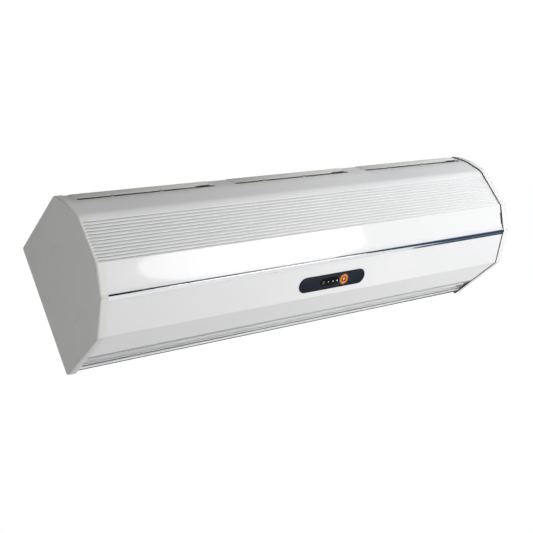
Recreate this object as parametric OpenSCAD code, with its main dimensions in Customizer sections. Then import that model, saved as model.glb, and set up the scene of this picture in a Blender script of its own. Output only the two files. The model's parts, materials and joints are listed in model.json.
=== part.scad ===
// Wall-mounted air curtain with two cross-flow impellers and one twin-shaft motor.
// +X runs along the casing, -Y points into the room and +Z up.
// The origin is the centre of the wall-bolt pattern, on the wall's face.
// Sections are drawn in (depth from the wall, height above the bottom) and run along X.

/* [Casing] */
// Overall length over the two end caps
body_l = 900; // [880:5:960]
// Overall height
body_h = 235; // [232:1:245]
// Depth from the wall to the chin, the foremost edge
body_d = 215; // [211:1:222]
// Depth of the flat top, from the wall to its front edge
top_d = 164; // [158:1:168]
// Depth of the knee, where the top slope bends
knee_d = 189.5; // [187:0.5:192]
// Drop from the top to the knee
knee_drop = 27; // [25:0.5:29]
// Drop from the top to the brow, where the ribbed front starts
brow_drop = 65; // [62:0.5:68]
// How far the ribbed front leans back at the brow
brow_lean = 3.5; // [2.5:0.5:5]
// Height of the chin, where the ribbed front ends
chin_h = 87; // [84:0.5:90]
// Depth of the belt corner, which the trim strip covers
belt_d = 190.7; // [188:0.1:193]
// Height of the belt corner
belt_h = 41.7; // [40:0.1:44]
// Depth of the flat bottom's front edge
bottom_d = 137; // [134:0.5:140]
// Thickness of the aluminium covers
cover_t = 1.6; // [1.2:0.1:2]
// How far the end caps stand proud of the covers
cap_step = 1; // [0.8:0.1:1.3]

/* [Front ribs] */
// Spacing of the grooves between the ribs
rib_pitch = 5.65; // [5:0.05:7]
// Width of a groove
groove_w = 1.8; // [1.2:0.1:2.4]
// Depth of a groove
groove_deep = 0.9; // [0.5:0.1:1]
// Space from the brow to the first groove
rib_top_gap = 11.9; // [10:0.1:16]
// Smallest space from the last groove to the chin
rib_bottom_gap = 3; // [2:0.1:6]

/* [End caps] */
// Width of the collar, from the outer face to the seam
cap_rim = 14; // [13:0.5:18]
// Wall thickness of an end cap
cap_wall = 2.5; // [2:0.1:2.8]
// Thickness of the lip that reaches under the upper cover
cap_lip_t = 1.5; // [1.2:0.1:1.8]
// Length of that lip
cap_lip_l = 6; // [4:0.5:8]
// Radius of the faint ring on the outer face
cap_ring_r = 62; // [56:1:66]

/* [Trim strip] */
// Height of the trim above the belt corner
trim_rise = 6.1; // [5:0.1:7]
// Reach of the trim below the belt corner, measured in depth
trim_reach = 6.4; // [5.5:0.1:7.5]
// Radius of the trim's round bead
bead_r = 3.2; // [2.8:0.1:3.4]
// Length of the flanges behind the covers
trim_flange = 8; // [6:0.5:9]

/* [Inlet grilles] */
// Length of the centre inlet opening
inlet_l = 254; // [240:1:262]
// Space between two inlet openings
inlet_gap = 43; // [34:1:44]
// Space between the outer inlets and the seams of the end caps
inlet_end = 12; // [10:1:20]
// Depth at which the inlets start on the top
inlet_rear_d = 75; // [72:1:80]
// Drop from the top to the inlets' lower edge on the slope
inlet_drop = 24; // [20:0.5:26]
// Thickness of a grille
grille_t = 2; // [1.8:0.1:2.4]
// How far a grille stands proud of the cover
grille_proud = 0.8; // [0.4:0.1:0.8]
// Dark gap under a grille's front lip
lip_gap = 2.4; // [2:0.1:3.5]
// Width of a slot in a grille
slot_w = 3.2; // [2.6:0.1:3.6]
// Width of the bar between two slots
slot_bar = 3.2; // [2.6:0.1:4]

/* [Outlet] */
// Depth of the outlet's front edge, where the lower cover ends
outlet_front_d = 63; // [62:0.5:66]
// Depth of the duct's front wall
duct_front_d = 57; // [55:0.5:58]
// Depth of the duct's rear wall
duct_rear_d = 17.4; // [17:0.1:19]
// Height of the vane's pivot
vane_h = 22; // [20:0.5:24]
// Chord of the vane below its pivot
vane_lower = 17.7; // [15:0.1:18]
// Chord of the vane above its pivot
vane_upper = 15; // [12:0.5:16]
// Thickness of the vane's blade
vane_t = 2.6; // [2:0.1:3]
// Radius of the vane's pins
vane_pin_r = 2; // [1.5:0.1:2.4]

/* [Chassis] */
// Space between the wall and the back panel
back_recess = 12; // [10:0.5:12.5]
// Thickness of the steel sheets
sheet_t = 1.2; // [1:0.1:1.4]
// Height of the wall-bolt pattern's centre above the bottom
mount_h = 170; // [160:1:175]
// Length of the wall plate
plate_l = 760; // [720:5:800]
// Height of the wall plate
plate_h = 70; // [64:1:80]
// Thickness of the wall plate
plate_t = 1.5; // [1.2:0.1:2]
// Spacing of the wall bolts along X
bolt_x = 640; // [600:5:680]
// Spacing of the wall bolts along Z
bolt_z = 40; // [34:1:46]
// Radius of a wall-bolt hole
bolt_hole_r = 3.5; // [3:0.1:4.5]
// Distance between the two hanging hooks
hook_x = 540; // [500:5:560]
// Width of a hanging hook
hook_w = 40; // [30:1:50]

/* [Fan] */
// Depth of the fan's axis
fan_d = 93; // [91:0.5:95]
// Height of the fan's axis
fan_h = 115; // [113:0.5:118]
// Outer radius of the impellers
fan_r = 52; // [49:0.5:53]
// Smallest air gap round the impellers
fan_gap = 4; // [3:0.5:5]
// Radial length of a blade
blade_chord = 10; // [8:0.5:12]
// Number of blades
blade_count = 28; // [20:1:32]
// Thickness of a blade
blade_t = 1.2; // [1:0.1:1.5]
// Number of chambers along an impeller
chamber_count = 6; // [4:1:8]
// Thickness of an impeller's rings and end plates
disc_t = 3; // [2:0.5:4]
// Space between a side plate and an impeller
fan_end_gap = 7; // [6:0.5:9]

/* [Motor] */
// Outer radius of the motor's shells
motor_r = 46; // [44:0.5:47]
// Length of the motor between its end faces
motor_l = 84; // [80:1:88]
// Radius of the motor's shaft
shaft_r = 5; // [4:0.5:6]
// Outer radius of the motor's hubs
hub_r = 16; // [14:0.5:18]
// Length of one hub
hub_l = 12; // [11:0.5:14]
// Length of the stator's core
core_l = 36; // [32:1:40]
// Air gap between the rotor and the stator
air_gap = 0.3; // [0.3:0.05:0.5]
// Radial thickness of the rubber rings
rubber_t = 6; // [5:0.5:8]
// Length of the shaft inside each impeller's hub
shaft_grip = 24; // [20:1:28]
// Thickness of the cradle's sheet
cradle_t = 2; // [1.5:0.1:2.5]

/* [Shaft ends] */
// Radius of an end axle
axle_r = 4; // [3:0.5:5]
// Outer radius of the ball bearings
bearing_r = 11; // [10:0.5:12]
// Width of a ball bearing
bearing_w = 7; // [6:0.5:7]
// Radial thickness of the bearing's rubber
seat_t = 6; // [5:0.5:7]
// Radial running clearance of shafts and pins
run_gap = 0.05; // [0.03:0.01:0.08]

/* [Control panel] */
// Centre of the panel along X
panel_x = 4; // [0:1:10]
// Distance up the lower facet from its bottom edge to the panel's centre
panel_s = 26.1; // [24:0.1:28]
// Length of the panel
panel_l = 148; // [144:1:156]
// Width of the panel
panel_w = 28.5; // [27.5:0.5:30]
// How far the panel stands proud of the cover
panel_proud = 1.2; // [0.8:0.1:1.6]
// Centre of the button from the panel's centre
button_x = 25.3; // [24:0.1:30]
// Outer radius of the orange ring
ring_r = 11.2; // [10:0.1:11.6]
// Radius of the button
button_r = 6.8; // [6:0.1:7.5]
// Travel of the button
button_travel = 0.8; // [0.5:0.1:1]
// Centre of the display window from the panel's centre
window_x = -8; // [-10:1:-7]
// Length of the display window
window_l = 40; // [34:1:40]
// Width of the display window
window_w = 12.5; // [11:0.5:14]
// Space between the panel's face and the control board
board_space = 12; // [11:0.5:14]
// Length of the control board
board_l = 120; // [110:1:126]

/* [Electrics bay] */
// Distance of the tray's near end from the middle
tray_x = 110; // [106:1:120]
// Length of the tray
tray_l = 270; // [262:1:305]
// Depth of the tray's rear edge
tray_d = 76; // [72:1:80]
// Width of the tray
tray_w = 72; // [66:1:76]
// Thickness of the tray
tray_t = 2; // [1.6:0.1:3]
// Length of the main board
main_l = 140; // [130:1:150]
// Thickness of the circuit boards
pcb_t = 1.6; // [1:0.1:2]
// Height of the board's posts
post_l = 8; // [6:0.5:10]
// Bore radius of the cable grommet
cable_r = 4; // [3:0.1:4.5]

/* [Hidden] */

$fn = 64;
cut = 1;            // how far a cutter runs past what it cuts
fit = 0.3;          // plain clearance between parts that don't touch
slip = 0.2;         // clearance where one part slides into another
seat = 0.02;        // film of air under a rim that lies on a sloping face

// Casing levels
half_l = body_l / 2;
seam_x = half_l - cap_rim;
cover_in = cap_step + cover_t;
lip_in = cover_in + slip;
plate_in = lip_in + cap_lip_t + slip;
side_in_x = seam_x - sheet_t;
top_inner_h = body_h - cover_in;
brow_h = body_h - brow_drop;
knee_h = body_h - knee_drop;
brow_d = body_d - brow_lean;
trim_top_h = belt_h + trim_rise;
trim_low_d = belt_d - trim_reach;

// Chassis levels
back_front_d = back_recess + sheet_t;
scroll_back_d = duct_rear_d - sheet_t;
rail_h = 1;
rail_t = 3;
rail_top_h = rail_h + rail_t;
rail_leg_h = 14;
flange_w = 11;
shelf_drop = 0.8;
shelf_top_h = fan_h - fan_r - fan_gap - shelf_drop;
shelf_low_h = shelf_top_h - sheet_t;

// Fan and motor levels
hub_end_x = motor_l / 2 + hub_l;
wheel_in_x = hub_end_x + 8;
wheel_out_x = side_in_x - fan_end_gap;
shaft_end_x = wheel_in_x + shaft_grip;
rotor_r = 24;
shell_t = 2;
cap_inner_x = half_l - cap_wall;
holder_clear = 1.3;
seat_end_x = cap_inner_x - holder_clear - sheet_t;
bearing_in_x = seat_end_x - bearing_w;
axle_end_x = seat_end_x + 0.6;
axle_grip = 20;

// Outline corners, anticlockwise from the bottom rear: depth, height, radius
outline_corners = [
    [0, 0, 4],
    [bottom_d, 0, 3],
    [belt_d, belt_h, 2],
    [body_d, chin_h, 3],
    [brow_d, brow_h, 28],
    [knee_d, knee_h, 90],
    [top_d, body_h, 6],
    [0, body_h, 3]
];
corner_count = len(outline_corners);
fillet_share = 0.48;    // most of an edge that one fillet takes
fillet_least = 0.4;

// ---- Plane geometry ----

function unit(v) = v / norm(v);
function inward(u) = [-u.y, u.x];
function corner(i) = outline_corners[(i + corner_count) % corner_count];
function corner_point(i) = [corner(i)[0], corner(i)[1]];
function edge_dir(i) = unit(corner_point(i + 1) - corner_point(i));

// Corner i of the outline, with each edge k moved inwards by insets[k]
function inset_corner(i, insets) =
    let (before = (i + corner_count - 1) % corner_count,
         u = edge_dir(before),
         w = edge_dir(i),
         p = corner_point(i) + inward(u) * insets[before],
         q = corner_point(i) + inward(w) * insets[i])
    p + u * cross(q - p, w) / cross(u, w);

// 1 where the outline turns left at corner i, as it does round a convex corner, else -1
function turn_way(i) = cross(edge_dir(i + corner_count - 1), edge_dir(i)) < 0 ? -1 : 1;

// Arc that rounds corner b between its neighbours a and c; a fillet stays within its edges
function round_corner(a, b, c, wanted_r, way, steps) =
    let (u = unit(a - b),
         w = unit(c - b),
         half = acos(u * w) / 2,
         room = fillet_share * min(norm(a - b), norm(c - b)),
         r = min(wanted_r, room * tan(half)),
         centre = b + unit(u + w) * r / sin(half),
         from = b + u * r / tan(half) - centre,
         start = atan2(from.y, from.x),
         sweep = way * (180 - 2 * half))
    [for (k = [0 : steps]) centre + r * [cos(start + sweep * k / steps),
                                         sin(start + sweep * k / steps)]];

function rounded(points, radii) =
    let (n = len(points))
    [for (i = [0 : n - 1])
        each round_corner(points[(i + n - 1) % n], points[i], points[(i + 1) % n],
                          radii[i], turn_way(i), radii[i] > 10 ? 8 : 3)];

// The casing's outline with every edge moved inwards by its own inset
function outline_by(insets) =
    rounded([for (i = [0 : corner_count - 1]) inset_corner(i, insets)],
            [for (i = [0 : corner_count - 1])
                max(corner(i)[2] - turn_way(i) * insets[i], fillet_least)]);

function outline(inset) = outline_by([for (i = [0 : corner_count - 1]) inset]);

// Depth of the ribbed front at a height
function front_d(h) = body_d - brow_lean * (h - chin_h) / (brow_h - chin_h);

// Depth of edge i at a height, with the edge moved inwards by an inset
function edge_d(i, h, inset) =
    let (p = corner_point(i) + inward(edge_dir(i)) * inset)
    p.x + edge_dir(i).x * (h - p.y) / edge_dir(i).y;

// Depth of the two facets below the chin
function facet_d(h, inset) = min(edge_d(1, h, inset), edge_d(2, h, inset));

// ---- Sections and rods ----

module section(points) polygon([for (p = points) [-p.x, p.y - mount_h]]);

module window(d0, d1, h0, h1)
    translate([-d1, h0 - mount_h]) square([d1 - d0, h1 - h0]);

module dot(d, h, r) translate([-d, h - mount_h]) circle(r);

module along_x(x0, x1)
    translate([x0, 0, 0]) rotate([90, 0, 90]) linear_extrude(x1 - x0) children();

module shell(inset, thickness) difference() {
    section(outline(inset));
    section(outline(inset + thickness));
}

module rod_x(d, h, x0, x1, r)
    translate([x0, -d, h - mount_h]) rotate([0, 90, 0]) cylinder(h = x1 - x0, r = r);

module tube_x(d, h, x0, x1, outer, inner) difference() {
    rod_x(d, h, x0, x1, outer);
    rod_x(d, h, x0 - cut, x1 + cut, inner);
}

// Rods that run along the depth, from depth d0 to depth d1, and up
module rod_y(x, h, d0, d1, r)
    translate([x, -d0, h - mount_h]) rotate([90, 0, 0]) cylinder(h = d1 - d0, r = r);

module rod_z(x, d, h0, h1, r)
    translate([x, -d, h0 - mount_h]) cylinder(h = h1 - h0, r = r);

module block(x0, x1, d0, d1, h0, h1)
    translate([x0, -d1, h0 - mount_h]) cube([x1 - x0, d1 - d0, h1 - h0]);

module both_ends() {
    children();
    mirror([1, 0, 0]) children();
}

// Belt bead: its centre lies inside the belt corner
bead_in = bead_r - 1.3;
bead_at = corner_point(2) + bead_in * unit(inward(edge_dir(1)) + inward(edge_dir(2)));

// ---- Front ribs ----

rib_space = brow_h - rib_top_gap - chin_h - rib_bottom_gap;
groove_count = floor(rib_space / rib_pitch) + 1;

module grooves(inset)
    for (i = [0 : groove_count - 1]) {
        h = brow_h - rib_top_gap - i * rib_pitch;
        window(front_d(h) - inset - groove_deep, front_d(h) + cut,
               h - groove_w / 2, h + groove_w / 2);
    }

// ---- Wall plate and chassis ----

hook_drop = 12;         // the hooks sit below the plate's top edge
hook_top_h = mount_h + plate_h / 2 - hook_drop;
hook_lip_l = 10;
hook_gap = 0.3;
slot_h = hook_lip_l + 5;

module wall_plate() color("gainsboro") difference() {
    union() {
        block(-plate_l / 2, plate_l / 2, 0, plate_t,
              mount_h - plate_h / 2, mount_h + plate_h / 2);
        for (x = [-hook_x / 2, hook_x / 2]) {
            block(x - hook_w / 2, x + hook_w / 2, 0, back_front_d + hook_gap + plate_t,
                  hook_top_h - plate_t, hook_top_h);
            block(x - hook_w / 2, x + hook_w / 2, back_front_d + hook_gap,
                  back_front_d + hook_gap + plate_t, hook_top_h - plate_t,
                  hook_top_h + hook_lip_l);
        }
    }
    for (x = [-bolt_x / 2, bolt_x / 2], z = [-bolt_z / 2, bolt_z / 2])
        rod_y(x, mount_h + z, -cut, plate_t + cut, bolt_hole_r);
}

frame_screw_r = 2;
frame_screw_x = side_in_x - flange_w / 2;
frame_screw_h = [32, 120, body_h - 30];
cover_screw_d = 22;
cover_screw_r = 2;
cover_screw_inner_x = 130;
cover_screw_outer_x = seam_x - 56;
cover_screw_x = [-cover_screw_outer_x, -cover_screw_inner_x, cover_screw_inner_x,
                 cover_screw_outer_x];
hook_play = 1;
top_flange_d = 30;

module back_panel() color("silver") difference() {
    along_x(-seam_x, seam_x) union() {
        window(back_recess, back_front_d, rail_top_h, top_inner_h);
        window(back_recess, top_flange_d, top_inner_h - sheet_t, top_inner_h);
    }
    for (x = [-hook_x / 2, hook_x / 2])
        block(x - hook_w / 2 - hook_play, x + hook_w / 2 + hook_play, back_recess - cut,
              back_front_d + cut, hook_top_h - slot_h, hook_top_h);
    for (side = [-1, 1], h = frame_screw_h)
        rod_y(side * frame_screw_x, h, back_recess - cut, back_front_d + cut,
              frame_screw_r);
    for (x = cover_screw_x)
        rod_z(x, cover_screw_d, top_inner_h - sheet_t - cut, top_inner_h + cut,
              cover_screw_r);
}

holder_screw_r = 1.5;
holder_screw_at = bearing_r + seat_t + 5.6;
holder_screw_places = [for (a = [90, 210, 330])
    [fan_d, fan_h] + holder_screw_at * [cos(a), sin(a)]];
boss_r = 4.5;
boss_places = [[40, body_h - 30], [knee_d - 11.5, knee_h - 18],
               [belt_d - 8.7, belt_h + 20.3], [34, 66]];
cable_d = 100;
cable_h = 30;
cable_flange_r = cable_r + 4.5;
vane_d = (duct_front_d + duct_rear_d) / 2 + 0.8;
bush_r = vane_pin_r + 2;

// Drawn for the right-hand end
module side_plate() difference() {
    union() {
        along_x(side_in_x, seam_x) difference() {
            section(outline(plate_in));
            window(-cut, back_front_d, -cut, body_h);
        }
        block(side_in_x - flange_w, side_in_x, back_front_d, back_front_d + sheet_t,
              frame_screw_h[0] - 10, frame_screw_h[2] + 10);
    }
    rod_x(fan_d, fan_h, side_in_x - cut, seam_x + cut, bearing_r + 2);
    for (p = holder_screw_places)
        rod_x(p.x, p.y, side_in_x - cut, seam_x + cut, holder_screw_r);
    rod_x(vane_d, vane_h, side_in_x - cut, seam_x + cut, bush_r);
    for (p = boss_places)
        rod_x(p[0], p[1], side_in_x - cut, seam_x + cut, cap_screw_r + fit);
    for (h = frame_screw_h)
        rod_y(frame_screw_x, h, back_front_d - cut, back_front_d + sheet_t + cut,
              frame_screw_r);
    rod_x(cable_d, cable_h, side_in_x - cut, seam_x + cut, cable_flange_r);
}

module side_plate_left() color("lightgrey") mirror([1, 0, 0]) side_plate();
module side_plate_right() color("lightgrey") side_plate();

// ---- Air guides ----

scroll_from = -10;      // turn from straight up, positive towards the wall
scroll_to = 90;
scroll_steps = 20;
scroll_start_r = fan_r + fan_gap;
scroll_end_r = fan_d - duct_rear_d;
partition_top_d = inlet_rear_d - 9;

function scroll_r(turn) = scroll_start_r
    + (scroll_end_r - scroll_start_r) * (turn - scroll_from) / (scroll_to - scroll_from);
function scroll_point(turn, out) =
    [fan_d, fan_h] + (scroll_r(turn) + out) * [-sin(turn), cos(turn)];
scroll_turns = [for (k = [0 : scroll_steps])
    scroll_from + (scroll_to - scroll_from) * k / scroll_steps];
scroll_bead = scroll_point(scroll_from, sheet_t / 2);
scroll_bead_r = sheet_t / 2 + 1;
partition_top = [partition_top_d, top_inner_h - fit];
partition_side = sheet_t * inward(unit(partition_top - scroll_bead));

module scroll_section() section(concat(
    [for (t = scroll_turns) scroll_point(t, 0)],
    [[duct_rear_d, rail_top_h], [scroll_back_d, rail_top_h]],
    [for (k = [scroll_steps : -1 : 0]) scroll_point(scroll_turns[k], sheet_t)]));

module fan_scroll() color("lightgrey") union() {
    along_x(-side_in_x, side_in_x) scroll_section();
    along_x(-side_in_x, side_in_x) section([scroll_bead, partition_top,
        partition_top + partition_side, scroll_bead + partition_side]);
    rod_x(scroll_bead.x, scroll_bead.y, -side_in_x, side_in_x, scroll_bead_r);
}

nose_r = 2.4;
nose_d = duct_front_d + nose_r;
nose_h = fan_h - sqrt(pow(fan_r + fan_gap + nose_r, 2) - pow(fan_d - nose_d, 2));
trim_web = cover_in + sheet_t;
shelf_meets_trim = shelf_low_h < trim_top_h + trim_flange + fit;
shelf_front_d = facet_d(shelf_low_h, (shelf_meets_trim ? trim_web : cover_in) + fit);
lead_hole_r = 5;
lead_d = fan_d + 55;
lead_x = -25;
cradle_screw_r = 2;
ring_len = hub_l - 2;
ear_x = hub_end_x - ring_len / 2;
ear_to_screw = 9;
rear_screw_to_axis = 17;
front_screw_to_axis = 19;
cradle_screw_places = [for (x = [-1, 1] * (ear_x - ear_to_screw),
                            d = [fan_d - rear_screw_to_axis, fan_d + front_screw_to_axis])
    [x, d]];

module air_tongue() color("lightgrey") difference() {
    along_x(-side_in_x, side_in_x) union() {
        window(duct_front_d, duct_front_d + sheet_t, rail_top_h - 1, nose_h);
        window(duct_front_d, shelf_front_d, shelf_low_h, shelf_top_h);
        dot(nose_d, nose_h, nose_r);
    }
    rod_z(lead_x, lead_d, shelf_low_h - cut, shelf_top_h + cut, lead_hole_r);
    for (p = cradle_screw_places)
        rod_z(p[0], p[1], shelf_low_h - cut, shelf_top_h + cut, cradle_screw_r);
}

// ---- Covers and trim ----

inlet_low_h = body_h - inlet_drop;
// Ends of the centre inlet and of the right-hand one
centre_inlet = [-inlet_l / 2, inlet_l / 2];
right_inlet = [inlet_l / 2 + inlet_gap, seam_x - inlet_end];
inlets = [[-right_inlet[1], -right_inlet[0]], centre_inlet, right_inlet];

module upper_cover() color("white") difference() {
    along_x(-seam_x, seam_x) difference() {
        shell(cap_step, cover_t);
        window(-cut, cover_in, -cut, top_inner_h);
        window(-cut, body_d + cut, -cut, trim_top_h);
        grooves(cap_step);
    }
    for (i = inlets) block(i[0], i[1], inlet_rear_d, body_d, inlet_low_h, body_h);
    for (x = cover_screw_x)
        rod_z(x, cover_screw_d, top_inner_h - cut, body_h, cover_screw_r);
}

panel_edge = 2;         // how far the panel's rim covers the cover's edge

module lower_cover() color("white") difference() {
    along_x(-seam_x, seam_x) difference() {
        shell(cap_step, cover_t);
        window(-cut, outlet_front_d + fit, -cut, body_h + cut);
        window(-cut, body_d + cut, trim_top_h, body_h + cut);
        window(trim_low_d, body_d + cut, -cut, body_h + cut);
    }
    on_panel() obround(panel_l - 2 * panel_edge, panel_w - 2 * panel_edge,
                       -cover_t - 2 * cut, cut);
}

trim_recess = 0.3;
bead_overlap = 0.4;     // how far the bead and the web run into each other

module trim_strip() color("silver") union() {
    along_x(-seam_x, seam_x) intersection() {
        shell(cap_step + trim_recess, trim_web - cap_step - trim_recess);
        window(trim_low_d + slip, body_d, 0, trim_top_h - slip);
    }
    along_x(-seam_x, seam_x) intersection() {
        shell(cover_in, sheet_t);
        window(trim_low_d - trim_flange, body_d, 0, trim_top_h + trim_flange);
    }
    along_x(-seam_x, seam_x) difference() {
        dot(bead_at.x, bead_at.y, bead_r);
        section(outline(trim_web - bead_overlap));
    }
}

// ---- End caps ----

cap_face_insets = [8, 9, 8, 6, 3, 2, 1.2, 0.8];
cap_mid_share = 0.3;
cap_screw_r = 1.4;
cap_round = 9;
cap_mid_x = half_l - cap_round * 0.35;

// Drawn for the right-hand end
module cap_body() difference() {
    union() {
        hull() {
            along_x(seam_x, half_l - cap_round) section(outline(0));
            along_x(seam_x, cap_mid_x) section(outline_by(cap_mid_share * cap_face_insets));
            along_x(seam_x, half_l) section(outline_by(cap_face_insets));
        }
        rod_x(bead_at.x, bead_at.y, seam_x, cap_mid_x, bead_r);
    }
    difference() {
        along_x(seam_x - cut, cap_inner_x) section(outline(cap_wall));
        for (p = boss_places) rod_x(p[0], p[1], seam_x, half_l, boss_r);
    }
    for (p = boss_places) rod_x(p[0], p[1], seam_x - cut, cap_inner_x - 1, cap_screw_r);
    along_x(seam_x - cut, half_l + cut) grooves(0);
    tube_x(fan_d, fan_h, half_l - 0.4, half_l + cut, cap_ring_r + 0.5, cap_ring_r - 0.5);
}

lip_rear_d = inlet_rear_d + 6;
lip_low_h = chin_h - 12;

// The lip, and its thicker root on the inside of the cap's wall
module cap_lip() {
    along_x(seam_x - cap_lip_l, cap_inner_x + cut) intersection() {
        shell(lip_in, cap_lip_t);
        window(lip_rear_d, body_d, lip_low_h, body_h);
    }
    along_x(seam_x, cap_inner_x + cut) intersection() {
        shell(cap_wall - 0.5, lip_in + cap_lip_t - cap_wall + 0.5);
        window(lip_rear_d, body_d, lip_low_h, body_h);
    }
}

module end_cap() {
    cap_body();
    cap_lip();
}

grommet_flange_t = 1.5;

module end_cap_left() color("gainsboro") mirror([1, 0, 0]) end_cap();
module end_cap_right() color("gainsboro") difference() {
    end_cap();
    rod_x(cable_d, cable_h, cap_inner_x - cut, half_l + cut, cable_r + 2);
    rod_x(cable_d, cable_h, half_l - grommet_flange_t, half_l + cut, cable_flange_r);
}

module cable_grommet() color("dimgrey") difference() {
    union() {
        rod_x(cable_d, cable_h, cap_inner_x - 2, half_l, cable_r + 2);
        rod_x(cable_d, cable_h, half_l - grommet_flange_t, half_l, cable_flange_r);
        rod_x(cable_d, cable_h, cap_inner_x - 2, cap_inner_x, cable_flange_r);
    }
    rod_x(cable_d, cable_h, cap_inner_x - 2 - cut, half_l + cut, cable_r);
}

// ---- Inlet grilles ----

grille_in = cap_step - grille_proud;
slot_first_d = inlet_rear_d + 8;
slot_rows = floor((top_d - 4 - slot_first_d + slot_bar) / (slot_w + slot_bar));
slot_columns = 5;
slot_margin = 8;
rear_wall_t = 3 - fit;
rear_hook_l = 5;
clip_at = [60, 149];    // from the grille's left end
clip_w = 4;
clip_t = 2;
clip_reach = 8;         // up behind the front lip
catch_t = 1.4;
catch_drop = 7;         // below the opening's edge
notch_end = 7;          // from the grille's right end
notch_l = 30;
notch_h = 3;

// The rear wall with its hook under the cover
module grille_rear() {
    window(inlet_rear_d + fit, inlet_rear_d + fit + rear_wall_t, top_inner_h - sheet_t,
           body_h - cap_step);
    window(inlet_rear_d - rear_hook_l, inlet_rear_d + fit + rear_wall_t,
           top_inner_h - sheet_t, top_inner_h);
}

// A latch post in the dark gap, with its catch behind the cover
module grille_clip() {
    intersection() {
        shell(grille_in + grille_t - 0.5, clip_t);
        window(top_d, body_d, inlet_low_h + fit, inlet_low_h + lip_gap + clip_reach);
    }
    intersection() {
        shell(cover_in, catch_t);
        window(top_d, body_d, inlet_low_h - catch_drop, inlet_low_h + 2 * fit);
    }
}

// A grille that fills the inlet from x0 to x1
module inlet_grille(x0, x1) difference() {
    slot_l = (x1 - x0 - 2 * slot_margin + slot_bar) / slot_columns - slot_bar;
    union() {
        along_x(x0 + fit, x1 - fit) difference() {
            shell(grille_in, grille_t);
            window(-cut, inlet_rear_d + fit, -cut, body_h + cut);
            window(-cut, body_d + cut, -cut, inlet_low_h + lip_gap);
        }
        along_x(x0 + fit, x1 - fit) grille_rear();
        for (x = clip_at) along_x(x0 + x, x0 + x + clip_w) grille_clip();
    }
    for (row = [0 : slot_rows - 1], column = [0 : slot_columns - 1]) {
        x = x0 + slot_margin + column * (slot_l + slot_bar);
        d = slot_first_d + row * (slot_w + slot_bar);
        block(x, x + slot_l, d, d + slot_w, top_inner_h - 2 * cut, body_h + cut);
    }
    block(x1 - notch_end - notch_l, x1 - notch_end, top_d, body_d, inlet_low_h,
          inlet_low_h + lip_gap + notch_h);
}

module inlet_grille_left() color("whitesmoke") inlet_grille(inlets[0][0], inlets[0][1]);
module inlet_grille_centre() color("whitesmoke") inlet_grille(inlets[1][0], inlets[1][1]);
module inlet_grille_right() color("whitesmoke") inlet_grille(inlets[2][0], inlets[2][1]);

// ---- Outlet rails and vane ----

module outlet_front_rail() color("silver") along_x(-side_in_x, side_in_x) union() {
    window(duct_front_d, outlet_front_d, rail_h, rail_top_h - 1);
    dot(duct_front_d, rail_h + 1, 1);
    window(duct_front_d + sheet_t, duct_front_d + sheet_t + 2, rail_h, rail_leg_h);
    window(duct_front_d + sheet_t, outlet_front_d + 7, cover_in, cover_in + 1.4);
}

module outlet_rear_rail() color("silver") along_x(-side_in_x, side_in_x) union() {
    window(back_recess, duct_rear_d + 1, rail_h, rail_top_h);
    dot(duct_rear_d + 1, rail_h + rail_t / 2, rail_t / 2);
    window(back_front_d, scroll_back_d, rail_h, rail_leg_h);
}

bush_flange = 1.3;
vane_end_x = side_in_x - bush_flange - 0.9;
pin_grip = 12;

module outlet_vane() color("silver") difference() {
    along_x(-vane_end_x, vane_end_x) union() {
        window(vane_d - vane_t / 2, vane_d + vane_t / 2,
               vane_h - vane_lower + vane_t / 2, vane_h + vane_upper - vane_t / 2);
        dot(vane_d, vane_h - vane_lower + vane_t / 2, vane_t / 2);
        dot(vane_d, vane_h + vane_upper - vane_t / 2, vane_t / 2);
        dot(vane_d, vane_h, vane_pin_r + 1.6);
    }
    both_ends() rod_x(vane_d, vane_h, vane_end_x - pin_grip, vane_end_x + cut, vane_pin_r);
}

module vane_pins() color("silver") both_ends()
    rod_x(vane_d, vane_h, vane_end_x - pin_grip, seam_x + 2, vane_pin_r);

module vane_bushes() color("dimgrey") both_ends() difference() {
    union() {
        rod_x(vane_d, vane_h, side_in_x, seam_x + 1.5, bush_r);
        rod_x(vane_d, vane_h, side_in_x - bush_flange, side_in_x, bush_r + 2);
    }
    rod_x(vane_d, vane_h, side_in_x - 2 * cut - bush_flange, seam_x + 3, vane_pin_r + run_gap);
}

// ---- Motor ----

shell_in_r = motor_r - shell_t;
motor_bearing_x = motor_l / 2 + 1;
motor_bearing_w = 8;

module motor_shell() difference() {
    union() {
        rod_x(fan_d, fan_h, 0, motor_l / 2, motor_r);
        rod_x(fan_d, fan_h, motor_l / 2, hub_end_x, hub_r);
    }
    rod_x(fan_d, fan_h, -cut, motor_l / 2 - shell_t, shell_in_r);
    rod_x(fan_d, fan_h, 0, motor_bearing_x + motor_bearing_w, bearing_r);
    rod_x(fan_d, fan_h, 0, hub_end_x + cut, shaft_r + 2);
}

module motor_shell_left() color("dimgrey") mirror([1, 0, 0]) motor_shell();
module motor_shell_right() color("dimgrey") motor_shell();

module motor_stator() color("darkgrey")
    tube_x(fan_d, fan_h, -core_l / 2, core_l / 2, shell_in_r, rotor_r + air_gap);

module motor_windings() color("chocolate") both_ends()
    tube_x(fan_d, fan_h, core_l / 2, core_l / 2 + 11, shell_in_r - 3, rotor_r + 3);

module motor_rotor() color("silver")
    tube_x(fan_d, fan_h, -core_l / 2 - 1, core_l / 2 + 1, rotor_r, shaft_r);

module motor_shaft() color("silver") rod_x(fan_d, fan_h, -shaft_end_x, shaft_end_x, shaft_r);

module motor_bearings() color("silver") both_ends()
    tube_x(fan_d, fan_h, motor_bearing_x, motor_bearing_x + motor_bearing_w - 0.5,
           bearing_r, shaft_r + run_gap);

module motor_rubber_rings() color("dimgrey") both_ends()
    tube_x(fan_d, fan_h, hub_end_x - ring_len, hub_end_x, hub_r + rubber_t, hub_r);

ear_r = hub_r + rubber_t + 6;

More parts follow.
